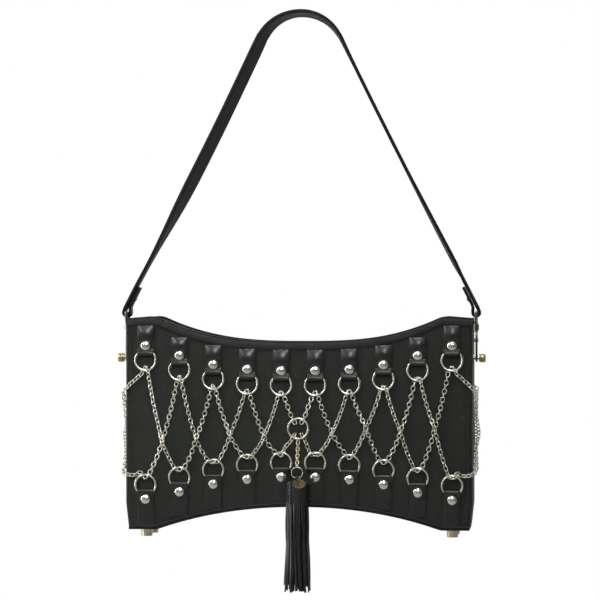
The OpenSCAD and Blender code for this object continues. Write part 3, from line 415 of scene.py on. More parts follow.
class Shape:
    """Points and faces gathered before they become one mesh."""

    def __init__(self, rings=None, caps=True):
        self.points, self.faces = [], []
        if rings:
            self.rings(rings, caps)

    def rings(self, rings, caps=True, loop=False):
        """Skins closed rings of points, one after another."""
        start, n, count = len(self.points), len(rings[0]), len(rings)
        for ring in rings:
            self.points.extend(ring)
        for i in range(count if loop else count - 1):
            a, b = start + i * n, start + ((i + 1) % count) * n
            self.faces += [(a + k, a + (k + 1) % n, b + (k + 1) % n, b + k) for k in range(n)]
        if caps:
            last = start + (count - 1) * n
            self.faces.append(tuple(start + k for k in range(n)))
            self.faces.append(tuple(last + k for k in reversed(range(n))))

    def band(self, stations, across=7):
        """A flat strip of leather; a station has place, face normal, width, thickness and crown."""
        rings = []
        for i, (p, n, w, t, crown) in enumerate(stations):
            p, n = Vector(p), Vector(n).normalized()
            after, before = stations[min(i + 1, len(stations) - 1)], stations[max(i - 1, 0)]
            ahead = (Vector(after[0]) - Vector(before[0])).normalized()
            side = ahead.cross(n).normalized()
            n = side.cross(ahead).normalized()
            edge = min(t * 0.45, w * 0.2)
            front, back = [], []
            for u in spread(-1, 1, across):
                reach, rise = u * (w / 2 - edge), crown * (1 - u * u)
                front.append(p + side * reach + n * (t / 2 + rise))
                back.append(p + side * reach + n * (-t / 2 + rise))
            left, right, round_off = p - side * (w / 2), p + side * (w / 2), n * t * 0.22
            rings.append([left + round_off] + front + [right + round_off, right - round_off]
                         + back[::-1] + [left - round_off])
        self.rings(rings)

    def piece(self, name, body, slot, *nodes, paint=None, angle=40, weld=0.0):
        """The finished piece, in its slot's material or in another paint."""
        shape = bpy.data.meshes.new(name)
        shape.from_pydata(in_metres(self.points), [], self.faces)
        draft = bmesh.new()
        draft.from_mesh(shape)
        if weld:
            bmesh.ops.remove_doubles(draft, verts=draft.verts, dist=weld * MM)
        bmesh.ops.recalc_face_normals(draft, faces=draft.faces)
        draft.to_mesh(shape)
        draft.free()
        for face in shape.polygons:
            face.use_smooth = True
        shape.materials.append(MATERIALS[paint or slot])
        dress(in_scene(name, shape), body, nodes, angle)


# Geometry Nodes trees; their numbers are metres and radians

class Tree(Net):
    def __init__(self, name, inputs):
        super().__init__(bpy.data.node_groups.new(name, "GeometryNodeTree"),
                         {"Geometry": "Geometry", **inputs, "Material": "Material"},
                         {"Geometry": "Geometry"})

    def vector(self, x=0.0, y=0.0, z=0.0):
        return self.get("ShaderNodeCombineXYZ", {0: x, 1: y, 2: z})

    def named(self, name, kind="FLOAT"):
        return self.get("GeometryNodeInputNamedAttribute", {"Name": name}, "Attribute", data_type=kind)

    def along(self, spacing):
        """Evenly spaced points of every path, and the rotation that lays X along it and Z outwards."""
        curve = self.get("GeometryNodeMeshToCurve", {"Mesh": self["Geometry"]})
        even = self.get("GeometryNodeResampleCurve", {"Curve": curve, "Length": spacing}, mode="LENGTH")
        turn = self.get("FunctionNodeAxesToRotation", {
            "Primary Axis": self.get("GeometryNodeInputTangent"),
            "Secondary Axis": self.named("out", "FLOAT_VECTOR")}, primary_axis="X", secondary_axis="Z")
        return even, turn

    def swept(self, curve, sides, width, caps=False):
        """A round bar of the width along the curve."""
        section = self.get("GeometryNodeCurvePrimitiveCircle", {
            "Resolution": sides, "Radius": self.times(width, 0.5)})
        return self.get("GeometryNodeCurveToMesh", {
            "Curve": curve, "Profile Curve": section, "Fill Caps": caps})

    def disc(self, sides, radius, depth):
        return self.get("GeometryNodeMeshCylinder", {"Vertices": sides, "Radius": radius, "Depth": depth})

    def ball(self, segments, rings, size):
        unit = self.get("GeometryNodeMeshUVSphere", {"Segments": segments, "Rings": rings, "Radius": 0.5})
        return self.get("GeometryNodeTransform", {"Geometry": unit, "Scale": size})

    def moved(self, geometry, **place):
        return self.get("GeometryNodeTransform", {"Geometry": geometry, "Translation": self.vector(**place)})

    def joined(self, *parts):
        join = self.add("GeometryNodeJoinGeometry")
        for part in parts:
            self.tree.links.new(part, join.inputs[0])
        return join.outputs[0]

    def placed(self, points, instance, turn):
        return self.get("GeometryNodeInstanceOnPoints", {
            "Points": points, "Instance": instance, "Rotation": turn})

    def turned(self, instances, **turn):
        return self.get("GeometryNodeRotateInstances", {
            "Instances": instances, "Rotation": self.vector(**turn), "Local Space": True})

    def finish(self, geometry, smooth=True):
        real = self.get("GeometryNodeRealizeInstances", {"Geometry": geometry})
        shade = self.get("GeometryNodeSetShadeSmooth", {"Geometry": real, "Shade Smooth": smooth})
        return self.give(self.get("GeometryNodeSetMaterial", {
            "Geometry": shade, "Material": self["Material"]}))


# Chain: oval links along the paths, each turned a quarter from the last
def make_chain_tree():
    tree = Tree("chain_links", {
        "Pitch": 0.00345, "Link length": 0.0054, "Link width": 0.0042, "Wire": 0.00095})
    points, turn = tree.along(tree["Pitch"])
    long_side = tree.minus(tree["Link length"], tree["Wire"])
    short_side = tree.minus(tree["Link width"], tree["Wire"])
    outline = tree.get("GeometryNodeCurvePrimitiveQuadrilateral", {
        "Width": long_side, "Height": short_side})
    rounded = tree.get("GeometryNodeFilletCurve", {
        "Curve": outline, "Radius": tree.times(short_side, 0.49), "Count": 3}, mode="POLY")
    placed = tree.placed(points, tree.swept(rounded, 6, tree["Wire"]), turn)
    quarter = tree.times(tree.get("GeometryNodeInputIndex"), pi / 2)
    return tree.finish(tree.turned(placed, x=tree.plus(quarter, tree.named("roll"))))


# Stitches: short rounded bars of thread sunk along the paths
def make_stitch_tree():
    tree = Tree("stitch_row", {"Spacing": 0.0026, "Length": 0.0021, "Thread": 0.0006})
    points, turn = tree.along(tree["Spacing"])
    bar = tree.ball(6, 4, tree.vector(tree["Length"], tree["Thread"], tree["Thread"]))
    return tree.finish(tree.placed(points, bar, turn))


# Round cord or wire along the paths
def make_cord_tree():
    tree = Tree("round_cord", {"Width": 0.001, "Sides": 10})
    curve = tree.get("GeometryNodeMeshToCurve", {"Mesh": tree["Geometry"]})
    return tree.finish(tree.swept(curve, tree["Sides"], tree["Width"], caps=True))


# D-rings: an arc closed by its straight bar, hung at each point and turned by its lean
def make_ring_tree():
    tree = Tree("d_rings", {
        "Ring radius": RING_R * MM, "Bar inset": BAR_INSET * MM, "Wire": RING_WIRE * MM})
    half = tree.maths("ARCCOSINE", tree.maths("DIVIDE", tree["Bar inset"], tree["Ring radius"]))
    arc = tree.get("GeometryNodeCurveArc", {
        "Resolution": 44, "Radius": tree["Ring radius"], "Start Angle": tree.plus(half, pi / 2),
        "Sweep Angle": tree.minus(2 * pi, tree.times(half, 2.0))})
    closed = tree.get("GeometryNodeSetSplineCyclic", {"Geometry": arc, "Cyclic": True})
    hung = tree.moved(closed, y=tree.times(tree["Bar inset"], -1.0))
    return tree.finish(tree.placed(tree["Geometry"], tree.swept(hung, 12, tree["Wire"]),
                                   tree.vector(tree.named("turn"))))


# Rivets: a domed cap, a shank, and a flat burr behind
def make_rivet_tree():
    tree = Tree("domed_rivets", {
        "Cap width": 0.0084, "Cap height": 0.0021, "Burr width": 0.0056, "Burr depth": 0.0058})
    cap, width, depth = tree["Cap width"], tree["Burr width"], tree["Burr depth"]
    dome = tree.ball(28, 16, tree.vector(cap, cap, tree.times(tree["Cap height"], 2.0)))
    shank = tree.moved(tree.disc(16, tree.times(width, 0.25), depth), z=tree.times(depth, -0.5))
    burr = tree.moved(tree.disc(24, tree.times(width, 0.5), 0.0008), z=tree.times(depth, -1.0))
    return tree.finish(tree.placed(tree["Geometry"], tree.joined(dome, shank, burr),
                                   tree.vector(tree.named("turn"))))


# Zip teeth: stamped teeth clamped on the tape's bead
def make_teeth_tree():
    tree = Tree("zip_teeth", {"Spacing": 0.0026, "Reach": 0.0023, "Height": 0.0022, "Width": 0.0013})
    points, turn = tree.along(tree["Spacing"])
    width, reach, height = tree["Width"], tree["Reach"], tree["Height"]
    body = tree.get("GeometryNodeMeshCube", {"Size": tree.vector(width, reach, height)})
    nose = tree.get("GeometryNodeMeshCube", {
        "Size": tree.vector(tree.times(width, 0.6), reach, tree.times(height, 0.6))})
    tooth = tree.joined(body, tree.moved(nose, y=tree.times(reach, 0.2)))
    return tree.finish(tree.placed(points, tooth, turn), smooth=False)


CHAIN_TREE = make_chain_tree()
STITCH_TREE = make_stitch_tree()
CORD_TREE = make_cord_tree()
RING_TREE = make_ring_tree()
RIVET_TREE = make_rivet_tree()
TEETH_TREE = make_teeth_tree()


def grown(piece, tree, body, slot, *nodes, paint=None, angle=0, inputs=None):
    """Runs a tree on a piece with its named inputs, keeps the plain result and dresses it."""
    given = {"Material": MATERIALS[paint or slot], **(inputs or {})}
    modifier = piece.modifiers.new("grow", "NODES")
    modifier.node_group = tree
    for item in tree.interface.items_tree:
        if item.item_type == "SOCKET" and item.in_out == "INPUT" and item.name in given:
            modifier[item.identifier] = given[item.name]
    bpy.context.view_layer.update()
    graph = bpy.context.evaluated_depsgraph_get()
    shape = bpy.data.meshes.new_from_object(piece.evaluated_get(graph))
    piece.modifiers.clear()
    piece.data = shape
    dress(piece, body, nodes, angle)


def loose_points(name, points, edges=(), **values):
    """Points and edges with the numbers or directions that a tree reads at each point."""
    shape = bpy.data.meshes.new(name)
    shape.from_pydata(in_metres(points), edges, [])
    for key, row in values.items():
        kind, field = ("FLOAT_VECTOR", "vector") if len(row) > len(points) else ("FLOAT", "value")
        shape.attributes.new(key, kind, "POINT").data.foreach_set(field, row)
    return in_scene(name, shape)


def loose_paths(name, paths, outs=None, rolls=None, closed=False):
    """Edges through each path's points, with the outward direction and roll of each."""
    points, edges, out_values, roll_values = [], [], [], []
    for k, path in enumerate(paths):
        start = len(points)
        points.extend(path)
        edges.extend((start + i, start + i + 1) for i in range(len(path) - 1))
        if closed:
            edges.append((len(points) - 1, start))
        directions = outs[k] if outs else (0, 0, 1)
        if not isinstance(directions[0], tuple):
            directions = [directions] * len(path)
        out_values.extend(c for d in directions for c in d)
        roll_values.extend([rolls[k] if rolls else 0.0] * len(path))
    return loose_points(name, points, edges, out=out_values, roll=roll_values)


def stitches(name, body, slot, paths, outs, spacing=2.6, length=2.1, thread=0.55):
    grown(loose_paths(name, paths, outs), STITCH_TREE, body, slot, paint="thread", inputs={
        "Spacing": spacing * MM, "Length": length * MM, "Thread": thread * MM})


def cord_piece(name, body, slot, paths, width, *nodes, paint=None, closed=False, sides=10):
    grown(loose_paths(name, paths, closed=closed), CORD_TREE, body, slot, *nodes, paint=paint,
          inputs={"Width": width * MM, "Sides": sides})


EDGE_STEPS = (0.0, 0.25, 0.7, 1.4)
EDGE_END = 2.4


def stations_along(x_end, step):
    """Places along the bag, close together at both rounded ends."""
    inner = spread(-x_end + EDGE_END, x_end - EDGE_END, int(2 * (x_end - EDGE_END) / step))
    return [-x_end + e for e in EDGE_STEPS] + inner + [x_end - e for e in reversed(EDGE_STEPS)]


# Leather between the tabs puffs out a little, and is drawn in at every tab, seam and edge
def puff(x, z):
    between = 0.5 * (1 - cos(2 * pi * (x - column_x(0)) / TAB_PITCH))
    ends = ease((column_x(TAB_COUNT - 1) + TAB_W / 2 - abs(x)) / 8)
    tall = ease((z - base_z(x) - 3) / 26) * ease((rim_z(x) - z - 8) / 22)
    wander = noise.noise(Vector((x * 0.02, z * 0.02, 3.0))) * 0.25
    return (0.42 * between * ends + wander * 0.6 + 0.1) * tall


CORNER_R, PUFF_FROM = 1.4, 1.3
PANEL_STEP, PANEL_ROWS, STRIP_STEP = 2.6, 46, 3


def make_panel(word, side):
    rings = []
    for x in stations_along(HALF_W, PANEL_STEP):
        corner = min(HALF_W - abs(x), CORNER_R)
        inward = CORNER_R - sqrt(max(CORNER_R ** 2 - (CORNER_R - corner) ** 2, 0))
        face, back = [], []
        for z in spread(base_z(x), rim_z(x), PANEL_ROWS):
            px = x / HALF_W * side_x(z)
            face.append((px, side * (HALF_D - inward + puff(x, z) * (corner > PUFF_FROM)), z))
            back.append((px, side * INSIDE_Y, z))
        rings.append(face + back[::-1])
    Shape(rings).piece(word + "_panel_skin", "bag", "body_leather", word + "_panel")


def lengthwise(name, slot, x_end, level, profile, *nodes, paint=None):
    """A strip whose section of (y, rise) points follows a curve along the bag."""
    rings = [[(x, y, level(x) + rise) for y, rise in profile]
             for x in spread(-x_end, x_end, int(2 * x_end / STRIP_STEP))]
    Shape(rings).piece(name, "bag", slot, *nodes, paint=paint, angle=35)


def arc_points(cy, cz, r, start, end, count):
    return [(cy + r * cos(a), cz + r * sin(a)) for a in map(radians, spread(start, end, count))]


for word, side in SIDES:
    def mirrored(profile):
        return [(side * y, rise) for y, rise in profile]

    make_panel(word, side)
    # Facing strip with rounded edges below the rim, and the painted edge that caps all layers
    outer = HALF_D + FACING_T
    lengthwise(word + "_facing_strip", "edge_leather", HALF_W, rim_z, mirrored([
        (HALF_D, -FACING_H), (outer - 0.35, -FACING_H), (outer - 0.08, -FACING_H + 0.3),
        (outer, -FACING_H + 0.8), (outer + 0.15, -FACING_H / 2), (outer, -1.0), (outer - 0.1, -0.4),
        (outer - 0.35, -0.05), (HALF_D, 0.0)]), word + "_rim_facing", paint="facing_leather")
    lengthwise(word + "_painted_rim", "edge_leather", HALF_W, rim_z, mirrored(
        arc_points(outer - 0.7, 0.1, 0.75, -80, 90, 6)
        + arc_points(INNER_Y + 0.7, 0.1, 0.75, 90, 180, 5) + [(INNER_Y, -0.8), (INNER_Y + 0.8, -0.8)]))
    # Turned bottom seam: a rolled bead with its piping above it; the piping is painted in the lighter facing
    # hide, a painted highlight along the seam
    lengthwise(word + "_base_roll", "edge_leather", HALF_W - FOOT_TAPER, base_z, mirrored([
        (HALF_D + y, z) for y, z in ((0, 0), (0.75, 0), (1.15, 0.2), (1.3, 0.65), (1.2, 1.5),
                                     (1.05, 2.0), (0.6, WELT_H - 0.08), (0, WELT_H))]),
        word + "_base_welt")
    # Painted highlight: the piping takes the lighter facing hide instead of the dark edge paint
    lengthwise(word + "_seam_piping", "edge_leather", HALF_W - FOOT_TAPER, base_z, mirrored(
        arc_points(HALF_D + 1.0, WELT_H + 0.3, 0.65, 0, 330, 12)), paint="facing_leather")
    stitches(word + "_facing_stitches", "bag", "edge_leather", [
        [(x, side * (outer + 0.05), rim_z(x) - FACING_H + 1.2)
         for x in spread(-HALF_W + 2.5, HALF_W - 2.5, 100)]], [(0, side, 0)], 3.6, 2.5, 0.85)
    stitches(word + "_side_stitches", "bag", "body_leather", [
        [(s * x, side * (HALF_D + 0.05), z)
         for z in spread(rim_z(x) - FACING_H - 1, BASE_END + 24, 30)]
        for s in (-1, 1) for x in (HALF_W - 2.2, HALF_W - 5.4)], [(0, side, 0)] * 4)

# Gussets: folded side walls with a dipped, bound top edge
for word, side in ENDS:
    rings = []
    ys = spread(-INSIDE_Y, INSIDE_Y, 45)
    for y in ys:
        top = gusset_top(y)
        outside, inside = [], []
        for z in spread(BASE_END, top, 44):
            over, under = z - BASE_END, top - z - 4
            crease = 0.35 * exp(-(y / 1.6) ** 2) * ease(under / 20) * ease((over - 10) / 30)
            bow = 0.5 * cos(pi * y / (2 * INSIDE_Y)) * ease((over - 8) / 40) * ease(under / 30)
            outside.append((side * (side_x(z) - crease + bow), y, z))
            inside.append((side * (side_x(z) - GUSSET_T), y, z))
        rings.append(outside + inside[::-1])
    Shape(rings).piece(word + "_gusset_skin", "bag", "body_leather", word + "_gusset")
    cord_piece(word + "_gusset_binding", "bag", "edge_leather", [
        [(side * (HALF_W - GUSSET_T / 2 - 0.65), y, gusset_top(y) + 0.1) for y in ys]], 2.6)
    stitches(word + "_gusset_stitches", "bag", "body_leather", [
        [(side * (side_x(z) + 0.08), s * (INSIDE_Y - 1.6), z)
         for z in spread(RIM_END - 3, BASE_END + 4, 60)] for s in (-1, 1)], [(side, 0, 0)] * 2)

half_base = [(12, -0.15), (INSIDE_Y - 0.5, 0.0), (INSIDE_Y, 0.3)]
lengthwise("base_skin", "body_leather", BASE_X, base_z,
           [(-y, z) for y, z in reversed(half_base)] + [(0, -0.15)] + half_base
           + [(INSIDE_Y, GUSSET_T), (-INSIDE_Y, GUSSET_T)], "base_panel")
stitches("base_stitches", "bag", "body_leather", [
    [(x, s * (INSIDE_Y - 2.2), base_z(x) - 0.06) for x in spread(-BASE_X + 3, BASE_X - 3, 90)]
    for s in (-1, 1)], [(0, 0, -1)] * 2)


# Lining: a cloth tub sewn under the rim, with end walls under the gussets' dipped tops
def make_lining():
    floor = GUSSET_T + 1.6
    layers = [[], []]
    for x in spread(-INNER_X, INNER_X, 90):
        low, high = base_z(min(abs(x), BASE_X)) + floor, rim_z(x) - 0.4
        for sink, layer in zip((0.0, LINING_T), layers):
            edge = INSIDE_Y - sink
            section = [(-edge, z) for z in spread(high, low + sink + 1, 24)]
            section += [(y, low + sink) for y in spread(-edge + 1, edge - 1, 16)]
            section += [(edge, z) for z in spread(low + sink + 1, high, 24)]
            layer.append([(x / INNER_X * (side_x(z) - GUSSET_T - sink), y, z) for y, z in section])
    shape = Shape([a + b[::-1] for a, b in zip(*layers)], caps=False)
    for side in (-1, 1):
        walls = [[[(side * (side_x(z) - GUSSET_T - sink), y, z)
                   for z in spread(BASE_END + floor, gusset_top(y) - 0.4, 30)]
                  for y in spread(-(INSIDE_Y - 0.1), INSIDE_Y - 0.1, 30)] for sink in (0.0, LINING_T)]
        shape.rings([a + b[::-1] for a, b in zip(*walls)])
    shape.piece("lining_tub", "bag", "lining_cloth", "lining")


# Slip pocket at the back, slack along its top
def make_pocket():
    half, top, height, rows = 80.0, RIM_MID - TOP_DROP - 5.6, 72.0, 24
    rings = []
    for x in spread(-half, half, 50):
        edge = ease((half - abs(x)) / 6)
        face, back = [], []
        for k, z in enumerate(spread(top - height, top, rows)):
            fall = 1 + 0.3 * sin(x * 0.16) * (k / (rows - 1)) ** 3
            face.append((x, INNER_Y - 1.2 - 0.9 * edge * ease(k / 8) * fall, z))
            back.append((x, INNER_Y - 0.9, z))
        rings.append(face + back[::-1])
    Shape(rings).piece("slip_pocket_cloth", "bag", "lining_cloth", "slip_pocket")
    corners = ((-half + 2, top - 2), (-half + 2, top - height + 2), (half - 2, top - height + 2),
               (half - 2, top - 2))
    stitches("slip_pocket_stitches", "bag", "lining_cloth", [[(x, INNER_Y - 1.4, z) for x, z in corners]],
             [(0, -1, 0)], 3.0, 2.3)


make_lining()
make_pocket()


# Tabs: one strip sewn at the rim or the bottom seam, folded round its ring and riveted to itself
def tab_stations(i, up, side):
    x, bar = column_x(i), bar_z(i, up)
    if up > 0:
        limit = min(rim_z(abs(x) - TAB_W / 2), rim_z(abs(x) + TAB_W / 2)) - FACING_H + 0.6
    else:
        limit = base_z(abs(x) - TAB_W / 2) + WELT_H + 0.1
    reach, lap, front, sewn = abs(limit - bar), RIVET_TO_BAR + LAP_L, 1.5 * TAB_T, 0.6
    rows = []

    def add(s, y, w, crown, n_y=1, n_s=0):
        rows.append(((x, side * (HALF_D + y), bar + up * s), (0, side * n_y, up * n_s), w, TAB_T, crown))

    flat_end = RIVET_TO_BAR + 4.6
    for s in spread(reach, flat_end, 14):
        t = (s - flat_end) / max(reach - flat_end, 1)
        if up > 0:
            swell = max(sin(pi * min(t * 1.02, 1.0)), 0.0) ** 0.8
            add(s, sewn + (front - sewn) * (1 - ease(t * 1.3)) + 0.8 * swell, TAB_W, 0.3 + 1.15 * swell)
        else:
            add(s, sewn + (front - sewn) * (1 - ease((s - lap + 2) / 3.5)), TAB_W, 0.25)
    r = FOLD_R - TAB_T / 2
    for s in spread(RIVET_TO_BAR + 3.4, 0.4, 14):
        near = exp(-((s - RIVET_TO_BAR) / 3.6) ** 2)
        rise = (FOLD_R + r - front) * ease((3.6 - s) / 3.8)
        add(s, front - 0.12 * near + rise, TAB_W, 0.3 - 0.22 * near)
    for t in map(radians, spread(10, 180, 11)):
        corner = sqrt(max(1 - sin(t) ** 2, 0)) * (t < pi / 2)
        add(-r * sin(t), FOLD_R + r * cos(t), FOLD_W + (TAB_W - FOLD_W) * corner, 0.15, cos(t), -sin(t))
    for s in spread(1.0, lap, 7):
        add(s, 0.55, FOLD_W + (TAB_W - 0.6 - FOLD_W) * ease(s / 5), 0.0, -1)
    return rows


for word, side in SIDES:
    for row, up in (("top", 1), ("bottom", -1)):
        shape = Shape()
        for i in range(TAB_COUNT):
            shape.band(tab_stations(i, up, side), across=9)
        shape.piece(f"{word}_{row}_tab_straps", "bag", "tab_leather", f"{word}_{row}_tabs", angle=50)
    columns = [(i, up) for i in range(TAB_COUNT) for up in (1, -1)]
    bars = [(column_x(i), side * (HALF_D + FOLD_R), bar_z(i, up)) for i, up in columns]
    leans = [up * (pi / 2 + side * RING_TILT) for i, up in columns]
    grown(loose_points(word + "_d_rings", bars, turn=leans), RING_TREE, "bag", "nickel", word + "_rings")
    caps = [(column_x(i), side * (HALF_D + 2 * TAB_T + 0.1), rivet_z(i, up)) for i, up in columns]
    grown(loose_points(word + "_domed_rivets", caps, turn=[-side * pi / 2] * len(caps)), RIVET_TREE,
          "bag", "nickel", word + "_rivets", angle=50)
    # Soft ring of leather that each rivet presses up
    shape = Shape()
    for cap in caps:
        rings = []
        for a in whole_turn(28):
            out = Vector((cos(a), 0, sin(a)))
            rings.append([Vector(cap) + out * (SEAT_R + SEAT_BEAD * cos(b))
                          + Vector((0, side * SEAT_RISE * sin(b), 0)) for b in whole_turn(8)])
        shape.rings(rings, caps=False, loop=True)
    shape.piece(word + "_rivet_seats", "bag", "tab_leather", angle=0)


# Chain routes: strands hang between the rings of neighbouring tabs and run through every ring
LIFT = 3.9
WIRE_GAP = 1.45
# How far out on each ring its strands lie, and how high each pair crosses
TOP_REACH = (1.9, 1.8, 2.0, 2.3, 2.4, 2.4, 2.3, 2.4, 2.2, 2.6)
LOW_REACH = (3.2, 4.2, 4.6, 4.4, 4.8, 4.2, 3.2, 3.6, 3.3, 3.0)
CROSS_Z = (-359.8, -357.8, -353.9, -355.8, -355.0, -352.6, -347.8, -351.4, -348.6)
BOW = 0.7
SIDE_OUT = 2.25
SIDE_SAG, SAG_PEAK = 15.0, 0.105
SIDE_LIFT = 2.5


def smooth_path(points, count):
    """Evenly timed curve through the points."""
    out, n = [], len(points)
    for k in range(count):
        t = k / (count - 1) * (n - 1)
        i = min(int(t), n - 2)
        f = t - i
        p0, p1, p2, p3 = points[max(i - 1, 0)], points[i], points[i + 1], points[min(i + 2, n - 1)]
        out.append(0.5 * ((2 * p1) + (p2 - p0) * f + (2 * p0 - 5 * p1 + 4 * p2 - p3) * f * f
                          + (3 * p1 - p0 - 3 * p2 + p3) * f ** 3))
    return out


def hitch(i, up, side, heading, reach=None):
    """Points from the hollow of a ring's end, over or under its wire, to the outside."""
    end = Vector((column_x(i), side * STRAND_Y, bar_z(i, up) - up * (BAR_INSET + RING_R) * cos(RING_TILT)))
    reach = reach or (TOP_REACH[i] if up > 0 else LOW_REACH[i])
    drop = RING_R - sqrt(RING_R ** 2 - reach ** 2)
    places = ((0.0, 0.1, 1.9), (0.55 * reach, 0.6, 1.7), (reach, 1.0, drop), (1.25 * reach, 0.75, drop - 2.4))
    return [end + Vector((heading * x, side * heading * WIRE_GAP * share, up * rise))
            for x, share, rise in places]


def lace_paths(gaps, side):
    """Two slack strands for each gap; each bends where they cross."""
    paths = []
    for i in gaps:
        for fall in (1, -1):
            first, last = (i, i + 1) if fall > 0 else (i + 1, i)
            top, low = hitch(first, 1, side, fall), hitch(last, -1, side, -fall)
            sheen_and_wear_mask = side * LIFT if (i % 2 == 0) == (fall > 0) else 0.0
            cross = Vector(((column_x(i) + column_x(i + 1)) / 2, (top[-1].y + low[-1].y) / 2, CROSS_Z[i]))
            middle = []
            for a, b, shares in ((top[-1], cross, (0.2, 0.4, 0.6, 0.8, 0.91)),
                                 (cross, low[-1], (0, 0.16, 0.4, 0.7))):
                for t in shares:
                    sag = 4 * BOW * t * (1 - t)
                    middle.append(a.lerp(b, t) + Vector((-fall * sag, 0, -0.3 * sag)))
            for p in middle:
                p.y += sheen_and_wear_mask * exp(-((p.z - cross.z) / 5.5) ** 2)
            paths.append(smooth_path(top + middle + low[::-1], 130))
    return paths


def middle_paths(side):
    """Four short strands that meet on the middle ring."""
    paths = []
    hub, turn = Vector((0, side * STRAND_Y, CENTRE_Z)), radians(30)
    for s in (-1, 1):
        for up in (1, -1):
            i = TAB_COUNT // 2 - (1 if s < 0 else 0)
            start = hitch(i, up, side, -s, 1.6 if s < 0 and up < 0 else None)
            reach = Vector((s * sin(turn), 0, up * cos(turn)))
            out = Vector((0, side * WIRE_GAP * s * up, 0))
            tail = [hub + reach * (CENTRE_R + far) + out * share
                    for far, share in ((2.6, 0.6), (0.0, 1.0), (-2.1, 0.3))]
            middle = [start[-1].lerp(tail[0], t) + Vector((0, side * 0.8 * sin(pi * t), 0))
                      for t in ((0.33, 0.67) if up > 0 else (0.5,))]
            paths.append(smooth_path(start + middle + tail, 60))
    return paths


def side_path(end, front_up, sheen_and_wear_mask):
    """Strand round the bag's end, from a front ring to the back ring of the other row."""
    i = TAB_COUNT - 1 if end > 0 else 0
    top, low = hitch(i, front_up, -1, end), hitch(i, -front_up, 1, end)
    start, finish = top[-1], low[-1]
    r, bend, gap = SIDE_OUT, (0, 0.52, 1.05), 3.0
    plan = [(x, -HALF_D - r - 0.8) for x in spread(abs(start.x) + gap, HALF_W - gap, 4)]
    plan += [(HALF_W + r * cos(a), -HALF_D - r * sin(a)) for a in reversed(bend)]
    plan += [(HALF_W + r + sheen_and_wear_mask * exp(-(y / 7.5) ** 2), y) for y in spread(-HALF_D + 8, HALF_D - 8, 9)]
    plan += [(HALF_W + r * cos(a), HALF_D + r * sin(a)) for a in bend]
    plan += [(x, HALF_D + r + 0.8) for x in spread(HALF_W - gap, abs(finish.x) + gap, 4)]
    length = [gap]
    for p, q in zip(plan, plan[1:]):
        length.append(length[-1] + dist(p, q))
    points = []
    for (x, y), along in zip(plan, length):
        t = along / (length[-1] + gap)
        low_end = t if front_up < 0 else 1 - t
        sag = SIDE_SAG * low_end * (1 - low_end) ** 3 / SAG_PEAK
        points.append(Vector((end * x, y, start.z + (finish.z - start.z) * t - sag)))
    smooth, outs = smooth_path(top + points + low[::-1], 190), []
    for p in smooth:
        off = Vector((p.x - max(min(p.x, HALF_W), -HALF_W), p.y - max(min(p.y, HALF_D), -HALF_D), 0))
        outs.append(tuple(off.normalized()) if off.length > 0.1 else (0, -1 if p.y < 0 else 1, 0))
    return smooth, outs


def chain_piece(name, paths, outs, node, rolls):
    grown(loose_paths(name, paths, outs, rolls), CHAIN_TREE, "bag", "chain_nickel", node)


ROLLS = (0.1, 0.75, 0.25, -0.6, 0.05, 0.85, -0.3, 0.5)
GAPS = {1: (0, 1), 2: (2, 3), 4: (5, 6), 5: (7, 8)}
for word, side in SIDES:
    for k, gaps in GAPS.items():
        chain_piece(f"{word}_lacing_{k}", lace_paths(gaps, side), [(0, side, 0)] * 4,
                    f"{word}_chain_{k}", [ROLLS[(k + j) % len(ROLLS)] for j in range(4)])
    paths = middle_paths(side) if word == "front" else lace_paths((4,), side)
    chain_piece(f"{word}_lacing_3", paths, [(0, side, 0)] * len(paths), f"{word}_chain_3", ROLLS)
for word, end in ENDS:
    paths, outs = zip(side_path(end, 1, 0.0), side_path(end, -1, SIDE_LIFT))
    chain_piece(f"{word}_side_lacing", paths, outs, f"{word}_side_chain", (0.8, 0.75))


# Strap: one twisted ribbon that folds round both eye bars
EYE_OFFSET = EYE_BAR + STRAP_T / 2
SPAN = hypot(HOOK_X, ARC_Z - EYE_Z)
LEG_NORMAL = pi / 2 - atan2(ARC_Z - EYE_Z, HOOK_X) - asin((STRAP_R - EYE_OFFSET) / SPAN)
LEG = sqrt(SPAN ** 2 - (STRAP_R - EYE_OFFSET) ** 2)
APEX_TWIST = radians(14)


def around(a, side=1):
    """Directions away from the strap's arc and along it, at an angle."""
    return Vector((cos(a) * side, 0, sin(a))), Vector((-sin(a) * side, 0, cos(a)))


def half_strap(side, twist_at, sag):
    """Stations from the turned-back end up to the apex on one side."""
    n, up = around(LEG_NORMAL)
    eye = Vector((HOOK_X, 0, EYE_Z))
    rows = []

    def add(p, face, w, t, s, ahead=up):
        face = Matrix.Rotation(twist_at(s), 3, ahead) @ face
        rows.append((Vector((side * p.x, p.y, p.z)), Vector((side * face.x, face.y, face.z)), w, t, 0.12))

    for s in (24, 23.4, 20, 15, 11, 7.5):
        add(eye + up * s, -n, STRAP_W - 1.2 if s < 23.7 else STRAP_W - 3.0, 2.3, s)
    for s, off in ((5.2, -0.4), (3.4, -1.5), (1.6, -2.4)):
        add(eye + n * off + up * s, -n - up * 0.35, STRAP_W - 1.1, 2.5, s)
    for t in map(radians, spread(180, 360, 11)):
        out = n * cos(t) + up * sin(t)
        add(eye + out * EYE_OFFSET, out, STRAP_W - 1.0, STRAP_T - 0.2, 0.0)
    for s in spread(3, LEG, 44):
        bow = 0.3 - sag * sin(pi * max(s - 25, 0) / (LEG - 25))
        add(eye + n * (EYE_OFFSET + bow) + up * s, n, STRAP_W, STRAP_T, s)
    for a in spread(LEG_NORMAL, pi / 2, 14)[1:]:
        out, ahead = around(a)
        add(Vector((0, 0, ARC_Z)) + out * STRAP_R, out, STRAP_W, STRAP_T,
            LEG + (a - LEG_NORMAL) * STRAP_R, ahead)
    return rows


def left_twist(s):
    leg = radians(30)
    return leg * ease((s - 38) / 90) + (APEX_TWIST - leg) * ease((s - 245) / 55)


